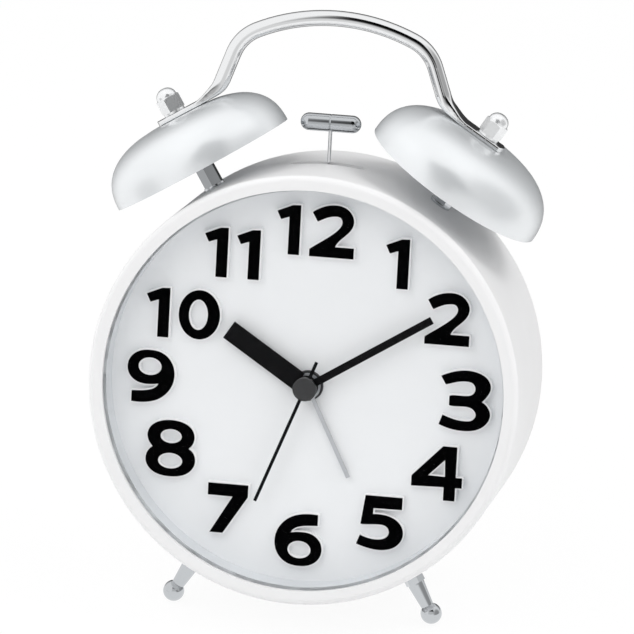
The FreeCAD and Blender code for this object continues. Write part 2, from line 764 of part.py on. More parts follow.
def make_chassis():
    """Inner frame: it clamps the dial, carries movement, ringer and battery, and takes every stud."""
    body = new_body("chassis")
    revolve(body, [
        ("bushing_radius + fit_gap", DIAL_BACK),
        (DROP_IN_RADIUS, DIAL_BACK),
        (DROP_IN_RADIUS, COVER_FRONT),
        (f"{DROP_IN_RADIUS} - chassis_wall", COVER_FRONT),
        (f"{DROP_IN_RADIUS} - chassis_wall", MOVEMENT_FRONT),
        ("bushing_radius + fit_gap", MOVEMENT_FRONT),
    ])
    web = f"{MOVEMENT_FRONT} - web_thickness / 2"
    plate(body, web, COVER_FRONT, circles=cover_screw_circles("cover_boss_radius"))
    shelf = box_corners("-shelf_half_width", "shelf_half_width",
                        f"{SHELF_TOP} - shelf_thickness", SHELF_TOP)
    plate(body, web, f"{MOVEMENT_FRONT} + shelf_depth", [shelf])
    plate(body, web, BATTERY_DEPTH, wall_pair("saddle_offset", "saddle_width / 2", "saddle_height / 2"))
    end = "(battery_length / 2 + bay_end_gap)"
    plate(body, web, f"{BATTERY_DEPTH} + battery_radius / 2",
          wall_pair(f"({end} + bay_wall / 2)", "bay_wall / 2", "battery_radius"))
    for bearing, depth in stud_places():
        cylinder(body, "Additive", "stud_boss_radius", "stud_boss_length - chassis_wall / 2",
                 radial(bearing, depth), STUD_BOTTOM)
    for bearing, depth in stud_places():
        cylinder(body, "Subtractive", "stud_radius + thread_gap", "stud_boss_length + chassis_wall",
                 radial(bearing, depth), STUD_BOTTOM)
    cylinder(body, "Subtractive", "battery_radius + seat_gap", f"2 * {end}", battery_place(), f"-{end}")
    cut(body, f"{COVER_BACK} - screw_length", f"{COVER_FRONT} + overlap",
        circles=cover_screw_circles("screw_radius + thread_gap"))
    opening = box_corners("-slot_half_length", "slot_half_length",
                          "ringer_depth - slot_width", "ringer_depth + slot_width")
    cut_up(body, EAR_TOP, "drum_radius", opening)


def wall_pair(across, half_width, half_height):
    """Outlines of two walls beside the battery, one on each side."""
    outlines = []
    for side in (-1, 1):
        middle = f"{side} * {across}"
        outlines.append(box_corners(f"{middle} - {half_width}", f"{middle} + {half_width}",
                                    f"{BATTERY_UP} - {half_height}", f"{BATTERY_UP} + {half_height}"))
    return outlines


def battery_place():
    """Placement whose Z axis is the battery's, across the clock."""
    return Placement(Vector(0, size(BATTERY_DEPTH), size(BATTERY_UP)), Rotation(Vector(0, 1, 0), 90))


def cover_screw_place(corner):
    """Across and up of one of the four cover screws, as expressions."""
    across = "1" if corner in (0, 1) else "-1"
    up = "1" if corner in (0, 3) else "-1"
    return f"{across} * {SCREW_CIRCLE} * cos(45deg)", f"{up} * {SCREW_CIRCLE} * cos(45deg)"


def cover_screw_circles(radius):
    return [(*cover_screw_place(corner), radius) for corner in range(4)]


def switch_slot():
    half = "(switch_width / 2 + fit_gap)"
    return box_corners(f"switch_across - {half}", f"switch_across + {half}",
                       "switch_up - switch_length / 2 - switch_travel - fit_gap",
                       "switch_up + switch_length / 2 + fit_gap")


def door_opening(gap):
    half = f"(door_length / 2 - {gap})"
    half_height = f"(door_height / 2 - {gap})"
    return box_corners(f"-{half}", half, f"{BATTERY_UP} - {half_height}", f"{BATTERY_UP} + {half_height}")


def make_back():
    body = new_body("back_cover")
    holes = [("0", "0", DROP_IN_RADIUS)] + cover_screw_circles("screw_radius + fit_gap")
    for which in ("time", "alarm"):
        holes.append((*stem_place(which), "stem_radius + fit_gap"))
    plate(body, COVER_FRONT, COVER_BACK, [switch_slot(), door_opening("0")], holes)

    door = new_body("battery_door")
    plate(door, COVER_FRONT, COVER_BACK, [door_opening("door_gap")])
    ribs = []
    for number in range(DOOR_RIBS):
        left = f"(door_rib_inset + {number} * door_rib_pitch - door_length / 2)"
        ribs.append(box_corners(left, f"{left} + door_rib_width",
                                f"{BATTERY_UP} - door_height / 4", f"{BATTERY_UP} + door_height / 4"))
    plate(door, COVER_BACK, f"{COVER_BACK} + door_rib_height", ribs)

    places = [[size(text) for text in cover_screw_place(corner)] for corner in range(4)]
    new_feature("back_cover_screws", Part.makeCompound([cover_screw(*place) for place in places]))


def cover_screw(across, up):
    """Pan-headed screw with a cross slot, seated on the back cover."""
    seat = size(COVER_BACK)
    head_radius = size("screw_head_radius")
    head_height = size("screw_head_height")
    shank = turned_disc(size("screw_radius"), seat - size("screw_length"), seat, across, up)
    head = turned_disc(head_radius, seat, seat + head_height, across, up)
    head = head.makeFillet(size("screw_head_round"), [head.Edges[0]])
    width = size("screw_slot_width")
    for turn in (0, 90):
        corner = Vector(-head_radius / 2, head_height - size("screw_slot_depth"), -width / 2)
        slot = Part.makeBox(head_radius, head_height, width, corner)
        slot.rotate(Vector(), Vector(0, 1, 0), turn)
        slot.translate(Vector(across, seat, up))
        head = head.cut(slot)
    return shank.fuse(head)


def make_battery():
    body = new_body("battery", battery_place())
    shoulder = "battery_length / 2 - battery_button_length"
    revolve(body, [
        ("0", "-battery_length / 2"),
        ("battery_radius", "-battery_length / 2"),
        ("battery_radius", shoulder),
        ("battery_button_radius", shoulder),
        ("battery_button_radius", "battery_length / 2"),
        ("0", "battery_length / 2"),
    ], "XZ_Plane")

    contacts = []
    end = size("battery_length / 2 + bay_end_gap")
    thickness = size("contact_thickness")
    half = size("contact_half_width")
    depth = size(BATTERY_DEPTH)
    up = size(BATTERY_UP)
    reach = size("bay_end_gap - contact_thickness - seat_gap")
    for side in (-1, 1):
        left = side * (end - thickness / 2) - thickness / 2
        contact = Part.makeBox(thickness, 2 * half, 2 * half, Vector(left, depth - half, up - half))
        dimple = Part.makeCone(size("dimple_radius"), size("dimple_tip_radius"), reach,
                               Vector(side * (end - thickness), depth, up), Vector(-side, 0, 0))
        contacts.append(contact.fuse(dimple))
    new_feature("battery_contacts", Part.makeCompound(contacts))


# ---------------------------------------------------------------- gears
TOOTH_COUNTS = {
    "rotor_pinion": 12,
    "intermediate_wheel": 60,
    "intermediate_pinion": 10,
    "second_wheel": 60,
    "second_pinion": 8,
    "third_wheel": 60,
    "third_pinion": 8,
    "centre_wheel": 64,
    "cannon_pinion": 10,
    "minute_wheel": 30,
    "minute_pinion": 8,
    "hour_wheel": 32,
    "time_stem": 10,
    "alarm_wheel": 28,
    "alarm_stem": 44,
}
KNOB_SCALLOPS = 16
TOOTH_SHARE = 0.42
TIP_SHARE = 0.5
ADDENDUM = 0.8
DEDENDUM = 1.2


def pair_distance(first, second):
    """Centre distance of two meshing gears, as an expression."""
    return f"(gear_module * {(TOOTH_COUNTS[first] + TOOTH_COUNTS[second]) / 2})"


def mesh_phase(phase, name, bearing, other):
    """Phase of the other gear, whose gap meets a tooth of the named one between their centres."""
    lead = (bearing - phase) * TOOTH_COUNTS[name] / 360
    return bearing + 180 + (lead - 0.5) * 360 / TOOTH_COUNTS[other]


def gear(name, phase, front, place=(0, 0), module=None):
    """Toothed disc: radial flanks up to the pitch circle, narrowing to the tip above it."""
    teeth = TOOTH_COUNTS[name]
    module = module or size("gear_module")
    pitch_radius = teeth * module / 2
    flank = math.degrees(math.pi / teeth) * TOOTH_SHARE
    root_radius = pitch_radius - DEDENDUM * module
    tip_radius = pitch_radius + ADDENDUM * module
    levels = [(root_radius, -flank), (pitch_radius, -flank), (tip_radius, -flank * TIP_SHARE),
              (tip_radius, flank * TIP_SHARE), (pitch_radius, flank), (root_radius, flank)]
    points = []
    for tooth in range(teeth):
        for radius, turn in levels:
            across, up = polar(radius, phase + 360 * tooth / teeth + turn)
            points.append(Vector(place[0] + across, front, place[1] + up))
    face = Part.Face(Part.makePolygon(points + points[:1]))
    return face.extrude(Vector(0, size("wheel_thickness"), 0))


def stem_place(which):
    """Across and up of a setting stem, as expressions."""
    if which == "time":
        first = pair_distance("cannon_pinion", "minute_wheel")
        second = pair_distance("minute_wheel", "time_stem")
        distance = f"({first} + {second})"
        bearing = "minute_wheel_bearing"
    else:
        distance = pair_distance("alarm_wheel", "alarm_stem")
        bearing = "alarm_stem_bearing"
    return f"{distance} * sin({bearing} * 1deg)", f"{distance} * cos({bearing} * 1deg)"


def knob(across, up):
    """Setting knob with a scalloped edge, behind the back cover."""
    front = size(f"{COVER_BACK} + knob_gap")
    back = front + size("knob_height")
    radius = size("knob_radius")
    solid = turned_disc(radius, front, back, across, up)
    solid = solid.makeChamfer(size("knob_chamfer"), [solid.Edges[0], solid.Edges[2]])
    for number in range(KNOB_SCALLOPS):
        x, z = polar(size("knob_radius + scallop_offset"), 360 * number / KNOB_SCALLOPS)
        solid = solid.cut(turned_disc(size("scallop_radius"), front, back, across + x, up + z))
    return solid


def make_wheel(label, shapes, arbor=None, bore=None):
    """Fuse a wheel's toothed discs with its arbor, and bore it where it runs on a tube."""
    solid = shapes[0]
    for shape in shapes[1:] + ([arbor] if arbor else []):
        solid = solid.fuse(shape)
    if bore:
        solid = solid.cut(bore)
    new_feature(label, solid.removeSplitter())


def make_gears():
    """Going train, motion work and alarm work, all between the movement's two plates."""
    thickness = size("wheel_thickness")
    plate_front = size(MOVEMENT_FRONT)
    plate_back = size(MOVEMENT_BACK)
    layers = [size(layer(number)) for number in range(7)]
    alarm_layer, hour_layer, minute_layer, centre_layer, third_layer, second_layer, rotor_layer = layers
    pivot = size("pivot_radius")
    running = size("running_gap")

    # alarm work: the alarm stem turns the alarm tube, which carries the alarm hand
    alarm_phase = 0
    stem_bearing = size("alarm_stem_bearing")
    tube_radius = size(ALARM_TUBE_RADIUS)
    tube_bore = size(HOUR_TUBE_RADIUS) + running
    make_wheel("alarm_wheel", [gear("alarm_wheel", alarm_phase, alarm_layer)],
               turned_disc(tube_radius, size(hand_front(0)), alarm_layer + thickness / 2),
               turned_disc(tube_bore, 0, plate_back))
    x, z = [size(text) for text in stem_place("alarm")]
    stem_phase = mesh_phase(alarm_phase, "alarm_wheel", stem_bearing, "alarm_stem")
    make_setting_stem("alarm_set_knob", "alarm_stem", stem_phase, alarm_layer, (x, z))

    # motion work: cannon pinion, minute wheel and hour wheel, turned by the time stem
    bearing = size("minute_wheel_bearing")
    tube_radius = size(CANNON_RADIUS)
    make_wheel("cannon_pinion", [gear("cannon_pinion", 0, minute_layer)],
               turned_disc(tube_radius, size(hand_front(2)), centre_layer + thickness),
               turned_disc(size("arbor_radius") + running, 0, plate_back))
    wheel_phase = mesh_phase(0, "cannon_pinion", bearing, "minute_wheel")
    minute_place = polar(size(pair_distance("cannon_pinion", "minute_wheel")), bearing)
    minute_wheel = gear("minute_wheel", wheel_phase, minute_layer, minute_place)
    minute_pinion = gear("minute_pinion", 0, hour_layer, minute_place)
    spacer = turned_disc(size("2 * gear_module"), hour_layer, minute_layer + thickness, *minute_place)
    post_bore = turned_disc(pivot + running, 0, plate_back, *minute_place)
    make_wheel("minute_wheel", [minute_wheel, minute_pinion, spacer], None, post_bore)
    hour_phase = mesh_phase(0, "minute_pinion", bearing + 180, "hour_wheel")
    make_wheel("hour_wheel", [gear("hour_wheel", hour_phase, hour_layer)],
               turned_disc(size(HOUR_TUBE_RADIUS), size(hand_front(1)), hour_layer + thickness / 2),
               turned_disc(tube_radius + running, 0, plate_back))
    stem_phase = mesh_phase(wheel_phase, "minute_wheel", bearing, "time_stem")
    make_setting_stem("time_set_knob", "time_stem", stem_phase, minute_layer,
                      [size(text) for text in stem_place("time")])

    # going train: rotor, intermediate, second, third and centre wheels
    bearing = size("third_bearing")
    distance = size(pair_distance("second_pinion", "third_wheel"))
    third_place = third_centre()
    third_phase = mesh_phase(0, "second_pinion", bearing, "third_wheel")
    centre_module = 2 * distance / (TOOTH_COUNTS["third_pinion"] + TOOTH_COUNTS["centre_wheel"])
    make_wheel("third_wheel", [gear("third_wheel", third_phase, third_layer, third_place),
                               gear("third_pinion", 0, centre_layer, third_place, centre_module)],
               turned_disc(pivot, plate_front + running, plate_back - running, *third_place))
    centre_phase = mesh_phase(0, "third_pinion", bearing + 180, "centre_wheel")
    centre_wheel = gear("centre_wheel", centre_phase, centre_layer, (0, 0), centre_module)
    make_wheel("centre_wheel", [centre_wheel], None, turned_disc(tube_radius + running, 0, plate_back))
    make_wheel("second_wheel",
               [gear("second_wheel", 0, second_layer), gear("second_pinion", 0, third_layer)],
               turned_disc(size("arbor_radius"), size(hand_front(3)), plate_back - running))
    bearing = size("intermediate_bearing")
    middle_place = intermediate_centre()
    pinion_phase = mesh_phase(0, "second_wheel", bearing, "intermediate_pinion")
    make_wheel("intermediate_wheel", [gear("intermediate_pinion", pinion_phase, second_layer, middle_place),
                                      gear("intermediate_wheel", 0, rotor_layer, middle_place)],
               turned_disc(pivot, plate_front + running, plate_back - running, *middle_place))
    bearing = size("rotor_bearing")
    rotor_place = rotor_centre()
    rotor_phase = mesh_phase(0, "intermediate_wheel", bearing, "rotor_pinion")
    magnet_front = size(f"{STATOR_FRONT} - (magnet_length - stator_thickness) / 2")
    magnet_back = magnet_front + size("magnet_length")
    magnet = turned_disc(size("magnet_radius"), magnet_front, magnet_back, *rotor_place)
    make_wheel("rotor", [gear("rotor_pinion", rotor_phase, rotor_layer, rotor_place), magnet],
               turned_disc(pivot, plate_front + running, plate_back - running, *rotor_place))


def make_setting_stem(label, name, phase, front, place):
    """Stem with its gear, its front pivot and its knob, all one turned and moulded piece."""
    thickness = size("wheel_thickness")
    plate_front = size(f"{MOVEMENT_FRONT} + running_gap")
    knob_middle = size(f"{COVER_BACK} + knob_gap + knob_height / 2")
    pivot = turned_disc(size("stem_pivot_radius"), plate_front, front + thickness, *place)
    stem = turned_disc(size("stem_radius"), front + thickness / 2, knob_middle, *place)
    make_wheel(label, [gear(name, phase, front, place), pivot, knob(*place)], stem)


def intermediate_centre():
    return polar(size(pair_distance("second_wheel", "intermediate_pinion")), size("intermediate_bearing"))


def rotor_centre():
    from_middle = polar(size(pair_distance("intermediate_wheel", "rotor_pinion")), size("rotor_bearing"))
    middle = intermediate_centre()
    return middle[0] + from_middle[0], middle[1] + from_middle[1]


def third_centre():
    return polar(size(pair_distance("second_pinion", "third_wheel")), size("third_bearing"))


# ---------------------------------------------------------------- movement case, motor and board
def square(half):
    return box_corners(f"-{half}", half, f"-{half}", half)


def arbor_holes():
    """Bearing holes in a movement plate for the arbors that run from plate to plate."""
    centres = (third_centre(), intermediate_centre(), rotor_centre())
    return [(str(x), str(z), "pivot_radius + running_gap") for x, z in centres]


def make_movement():
    half = "movement_half_size"
    body = new_body("movement_front_case")
    bushing_bore = f"{ALARM_TUBE_RADIUS} + running_gap"
    stem_holes = [(*stem_place(which), "stem_pivot_radius + running_gap") for which in ("time", "alarm")]
    plate(body, MOVEMENT_FRONT, PLATE_BACK, [square(half)],
          arbor_holes() + stem_holes + [("0", "0", bushing_bore)])
    plate(body, f"{PLATE_BACK} - movement_wall / 2", f"{MOVEMENT_BACK} - movement_wall",
          [square(half), square(MOVEMENT_INSIDE)])
    plate(body, f"{DIAL_FRONT} - bushing_front", f"{MOVEMENT_FRONT} + movement_wall / 2",
          circles=[("0", "0", "bushing_radius"), ("0", "0", bushing_bore)])
    post = polar(size(pair_distance("cannon_pinion", "minute_wheel")), size("minute_wheel_bearing"))
    plate(body, f"{PLATE_BACK} - movement_wall / 2", f"{layer(2)} + wheel_thickness",
          circles=[(str(post[0]), str(post[1]), "pivot_radius")])

    back = new_body("movement_back_case")
    stem_holes = [(*stem_place(which), "stem_radius + running_gap") for which in ("time", "alarm")]
    plate(back, f"{MOVEMENT_BACK} - movement_wall", MOVEMENT_BACK, [square(half)],
          arbor_holes() + stem_holes + [("0", "0", "arbor_radius + running_gap")])
    x, z = rotor_centre()
    board_posts = []
    stator_posts = []
    for side in (-1, 1):
        board_posts.append((BOARD_ACROSS, f"{side} * board_post_height", "board_post_radius"))
        across = f"{x} + {side} * stator_post_offset"
        stator_posts.append((across, f"{z} - stator_post_drop", "stator_post_radius"))
    inner_face = f"{MOVEMENT_BACK} - movement_wall / 2"
    plate(back, f"{STATOR_BACK} + board_thickness", inner_face, circles=board_posts)
    plate(back, STATOR_BACK, inner_face, circles=stator_posts)

    board = new_body("circuit_board")
    half_height = f"({MOVEMENT_INSIDE} - board_gap)"
    plate(board, STATOR_BACK, f"{STATOR_BACK} + board_thickness",
          [box_corners(f"{BOARD_ACROSS} - board_half_width", f"{BOARD_ACROSS} + board_half_width",
                       f"-{half_height}", half_height)])


def make_motor():
    """Stator and coil: one leg carries the coil, the other has the rotor's hole."""
    x, z = rotor_centre()
    left = f"({x} - stator_left)"
    right = f"({x} + stator_right)"
    half_limb = "stator_limb / 2"
    stator = new_body("stator")
    plate(stator, STATOR_FRONT, STATOR_BACK,
          [box_corners(left, right, f"{z} - stator_pole_half", f"{COIL_UP} + {half_limb}"),
           box_corners(f"{left} + stator_limb", f"{right} - stator_limb",
                       f"{z} + stator_pole_half", f"{COIL_UP} - {half_limb}")],
          [(str(x), str(z), "magnet_radius + magnet_gap")])

    centre = Vector(size(f"({left} + {right}) / 2"), size(STATOR_MIDDLE), size(COIL_UP))
    coil = new_body("stepper_coil", Placement(centre, Rotation(Vector(0, 1, 0), 90)))
    wire = new_sketch(coil, "XY_Plane", "-coil_length / 2")
    draw_circle(wire, "0", "0", "coil_radius")
    slot_half = f"({half_limb} + seat_gap)"
    slot_side = "(stator_thickness / 2 + seat_gap)"
    draw_outline(wire, box_corners(f"-{slot_half}", slot_half, f"-{slot_side}", slot_side))
    winding = coil.newObject("PartDesign::Pad", "winding")
    winding.Profile = wire
    winding.setExpression("Length", bind("coil_length"))
    doc.recompute()


def make_alarm_switch():
    """Slider behind the cover: a finger tab through the slot, on a plate that keeps it in."""
    body = new_body("alarm_switch")
    tab = box_corners("switch_across - switch_width / 2", "switch_across + switch_width / 2",
                      "switch_up - switch_length / 2", "switch_up + switch_length / 2")
    keeper = box_corners("switch_across - switch_width", "switch_across + switch_width",
                         "switch_up - switch_length", "switch_up + switch_length")
    keeper_back = f"{COVER_FRONT} - seat_gap"
    plate(body, f"{keeper_back} - cover_thickness / 2", keeper_back, [keeper])
    plate(body, f"{COVER_FRONT} - cover_thickness / 2", f"{COVER_BACK} + cover_thickness", [tab])


# ---------------------------------------------------------------- bells, posts, nuts
BELL_FULLNESS = 2.45
# turn of each post and nut about its own axis, in degrees: nothing on the clock lines them up
POST_TURNS = (31, -6)
NUT_TURNS = (24, -5)


def bell_curve(inset):
    """Bell profile from rim to crown seat: a superellipse whose flat top starts at the seat."""
    seat = size("bell_seat_radius")
    reach = size("bell_radius") - inset - seat
    height = size("bell_height") - inset
    points = []
    steps = 12
    for step in range(steps + 1):
        angle = math.radians(90 * step / steps)
        across = seat + reach * math.cos(angle) ** (2 / BELL_FULLNESS)
        up = height * math.sin(angle) ** (2 / BELL_FULLNESS)
        points.append(Vector(across, 0, up))
    curve = Part.BSplineCurve()
    curve.interpolate(points, InitialTangent=Vector(0, 0, 1), FinalTangent=Vector(-1, 0, 0))
    return curve.toShape(), points[0], points[-1]


def bell_shape():
    """Pressed sheet dome with a hole for the post's stud, opening towards the drum."""
    outside, outer_rim, outer_seat = bell_curve(0)
    inside, inner_rim, inner_seat = bell_curve(size("bell_sheet"))
    hole = size("stud_radius + fit_gap")
    top = Vector(hole, 0, outer_seat.z)
    under = Vector(hole, 0, inner_seat.z)
    edges = [outside, Part.makeLine(outer_seat, top), Part.makeLine(top, under),
             Part.makeLine(under, inner_seat), inside, Part.makeLine(inner_rim, outer_rim)]
    wire = Part.Wire(Part.__sortEdges__(edges))
    return Part.Face(wire).revolve(Vector(), Vector(0, 0, 1), 360)


def make_bells():
    """Two bells on hexagonal posts, with the washers and domed nuts that hold them."""
    depth = size("ringer_depth")
    angle = size("bell_angle")
    sides = [("left", radial(-angle, depth)), ("right", radial(angle, depth))]
    rim = Placement(Vector(0, 0, size(RIM_DISTANCE)), Rotation())
    for side, place in sides:
        new_feature(f"{side}_bell", bell_shape(), place.multiply(rim))

    washer_bottom = size("drum_radius + seat_gap")
    washer_top = washer_bottom + size("washer_thickness")
    crown = size(f"{CROWN_DISTANCE} - bell_sheet")
    stud = size("stud_radius")
    nut_seat = size(f"{CROWN_DISTANCE} + tab_thickness + 2 * seat_gap")
    flats = size("nut_across_flats")
    collar_top = nut_seat + size("nut_collar_height")
    hex_top = collar_top + size("nut_hex_height")
    top = nut_seat + size("nut_height")
    stud_bottom = size(STUD_BOTTOM)
    stud_top = hex_top + size("stud_past_hex")

    post = hex_prism(size("post_across_flats"), washer_top, crown)
    post = post.fuse(rod_along(stud, stud_bottom, stud_top))
    washer = rod_along(size("washer_radius"), washer_bottom, washer_top)
    washer = washer.cut(rod_along(stud + size("fit_gap"), washer_bottom, washer_top))
    nut = domed_nut(flats, collar_top, hex_top, top)
    nut = nut.fuse(rod_along(size("nut_collar_radius"), nut_seat, collar_top))
    nut = nut.cut(rod_along(stud + size("thread_gap"), nut_seat, stud_top + size("fit_gap")))
    places = [place for _, place in sides]
    new_feature("bell_posts", placed_group(post.removeSplitter(), places, POST_TURNS))
    new_feature("bell_washers", placed_group(washer, places, (0, 0)))
    new_feature("acorn_nuts", placed_group(nut, places, NUT_TURNS))


def rod_along(radius, bottom, top):
    """Cylinder along Z."""
    return Part.makeCylinder(radius, top - bottom, Vector(0, 0, bottom))


# Cap nut's dome, as shares of half the hexagon's flats and of the dome's rise
DOME_BASE = 0.97
DOME_START = 0.12
DOME_SHOULDER = (0.8, 0.66)
CORNER_CUT = 0.1


def domed_nut(flats, bottom, hex_top, top):
    """Cap nut: hexagon with chamfered corners under a full, low dome."""
    reach = flats / math.sqrt(3) + CORNER_CUT
    base = flats / 2 * DOME_BASE
    rise = top - hex_top
    start = Vector(base, 0, hex_top + rise * DOME_START)
    middle = Vector(base * DOME_SHOULDER[0], 0, hex_top + rise * DOME_SHOULDER[1])
    summit = Vector(0, 0, top)
    dome = Part.BSplineCurve()
    dome.interpolate([start, middle, summit], InitialTangent=Vector(0, 0, 1), FinalTangent=Vector(-1, 0, 0))
    shoulder = Vector(reach, 0, hex_top - CORNER_CUT)
    foot_edge = Vector(reach, 0, bottom)
    centre = Vector(0, 0, bottom)
    edges = [dome.toShape(), Part.makeLine(summit, centre), Part.makeLine(centre, foot_edge),
             Part.makeLine(foot_edge, shoulder), Part.makeLine(shoulder, start)]
    envelope = Part.Face(Part.Wire(Part.__sortEdges__(edges))).revolve(Vector(), Vector(0, 0, 1), 360)
    return hex_prism(flats, bottom, top).common(envelope)


def placed_group(shape, places, turns):
    """Copies of one solid at several placements, each turned about its axis, as separate solids."""
    copies = []
    for place, turn in zip(places, turns):
        copy = shape.copy()
        turned = place.multiply(Placement(Vector(), Rotation(Vector(0, 0, 1), turn)))
        copy.Placement = turned.multiply(copy.Placement)
        copies.append(copy)
    return Part.makeCompound(copies)


# ---------------------------------------------------------------- handle
def bar_path():
    """Points on the right half of the bar's axis, which starts parallel to the bell's crown,
    bends up into the leg and turns over a corner into the long top arc."""
    angle = math.radians(size("bell_angle"))
    axis_distance = size(f"{CROWN_DISTANCE} + seat_gap + handle_radius")
    along = Vector(-math.cos(angle), 0, math.sin(angle))
    over_stud = Vector(axis_distance * math.sin(angle), 0, axis_distance * math.cos(angle))
    slope = math.radians(size("handle_leg_slope"))
    leg_point = over_stud + Vector(-size("handle_leg_inset"), 0, size("handle_leg_rise"))
    leg_up = Vector(-math.cos(slope), 0, math.sin(slope))

    offset = leg_point - over_stud
    reach = (offset.x * leg_up.z - offset.z * leg_up.x) / (along.x * leg_up.z - along.z * leg_up.x)
    back_off = size("handle_bend_radius") * math.tan((slope - angle) / 2)
    knee = over_stud + along * reach
    bend_start = knee - along * back_off
    bend_end = knee + leg_up * back_off

    top_radius = size("handle_top_radius")
    corner_radius = size("handle_corner_radius")
    summit = Vector(0, 0, size(f"{CROWN_DISTANCE} + handle_rise"))
    top_centre = summit - Vector(0, 0, top_radius)
    inward = Vector(-math.sin(slope), 0, -math.cos(slope))
    start = leg_point + inward * corner_radius - top_centre
    half_b = start.dot(leg_up)
    constant = start.dot(start) - (top_radius - corner_radius) ** 2
    corner_start = leg_point + leg_up * (math.sqrt(half_b**2 - constant) - half_b)
    corner_centre = corner_start + inward * corner_radius
    corner_end = top_centre + (corner_centre - top_centre).normalize() * top_radius
    middle = ((corner_start + corner_end) / 2 - corner_centre).normalize()
    return {
        "over_stud": over_stud,
        "bend_start": bend_start,
        "bend_end": bend_end,
        "corner_start": corner_start,
        "corner_middle": corner_centre + middle * corner_radius,
        "corner_end": corner_end,
        "summit": summit,
    }


TAB_SQUARENESS = 8
SECTION_POINTS = 24
SWELL_STEPS = 8


def bar_section(point, normal, roundness):
    """Closed section across the bar: roundness 0 is the flat tab, 1 the round bar. The flattened
    part keeps its lower side level with the bar's."""
    radius = size("handle_radius")
    half_width = size("tab_width / 2")
    half_height = size("tab_thickness / 2")
    half_width += (radius - half_width) * roundness
    half_height += (radius - half_height) * roundness
    squareness = TAB_SQUARENESS + (2 - TAB_SQUARENESS) * roundness
    centre = point + normal * (half_height - radius)
    points = []
    for step in range(SECTION_POINTS):
        cosine = math.cos(2 * math.pi * step / SECTION_POINTS)
        sine = math.sin(2 * math.pi * step / SECTION_POINTS)
        across = math.copysign(abs(cosine) ** (2 / squareness), cosine) * half_width
        up = math.copysign(abs(sine) ** (2 / squareness), sine) * half_height
        points.append(centre + Vector(0, across, 0) + normal * up)
    curve = Part.BSplineCurve()
    curve.interpolate(points, PeriodicFlag=True)
    return Part.Wire([curve.toShape()])


def handle_end(path):
    """Right end of the handle: the forged tab, rounded about the stud, and the stretch where it
    swells to the round bar."""
    angle = math.radians(size("bell_angle"))
    turn = math.radians(size("handle_leg_slope")) - angle
    along = Vector(-math.cos(angle), 0, math.sin(angle))
    normal = Vector(math.sin(angle), 0, math.cos(angle))
    bend_radius = size("handle_bend_radius")
    bend_centre = path["bend_start"] + normal * bend_radius
    flat_end = path["over_stud"] + along * size("tab_flat")
    straight = (path["bend_start"] - flat_end).Length
    length = straight + bend_radius * turn
    sections = []
    for step in range(SWELL_STEPS + 1):
        share = step / SWELL_STEPS
        run = length * share
        roundness = share * share * (3 - 2 * share)
        if run <= straight:
            sections.append(bar_section(flat_end + along * run, normal, roundness))
            continue
        bend = angle + (run - straight) / bend_radius
        here = Vector(math.sin(bend), 0, math.cos(bend))
        sections.append(bar_section(bend_centre - here * bend_radius, here, roundness))
    swell = Part.makeLoft(sections, True, False)
    tab_face = Part.Face(sections[0])
    around_stud = rod_along(size("tab_reach"), 0, path["over_stud"].Length)
    stud_hole = rod_along(size("stud_radius + fit_gap"), 0, path["over_stud"].Length)
    for shape in (around_stud, stud_hole):
        shape.Placement = radial(size("bell_angle"), 0)
    rounded_end = tab_face.extrude(along * -size("tab_flat + tab_reach")).common(around_stud)
    tab = tab_face.extrude(along * -size("tab_flat")).fuse(rounded_end)
    return [tab.cut(stud_hole), swell]


def make_handle():
    """Round bar bent to an arch, forged flat at each end into a tab on the crown of a bell."""
    path = bar_path()
    leg = Part.makeLine(path["bend_end"], path["corner_start"])
    corner = Part.Arc(path["corner_start"], path["corner_middle"], path["corner_end"]).toShape()
    mirrored = Vector(-path["corner_end"].x, 0, path["corner_end"].z)
    top = Part.Arc(path["corner_end"], path["summit"], mirrored).toShape()
    right = [leg, corner]
    left = [edge.mirror(Vector(), Vector(1, 0, 0)) for edge in reversed(right)]
    spine = Part.Wire(Part.__sortEdges__(right + [top] + left))
    slope = math.radians(size("handle_leg_slope"))
    ring = bar_section(path["bend_end"], Vector(math.sin(slope), 0, math.cos(slope)), 1)
    handle = spine.makePipeShell([ring], True, False)
    ends = handle_end(path)
    for piece in ends + [end.mirror(Vector(), Vector(1, 0, 0)) for end in ends]:
        handle = handle.fuse(piece)
    solid = handle.removeSplitter().Solids[0]
    new_feature("handle", solid, Placement(Vector(0, size("ringer_depth"), 0), Rotation()))


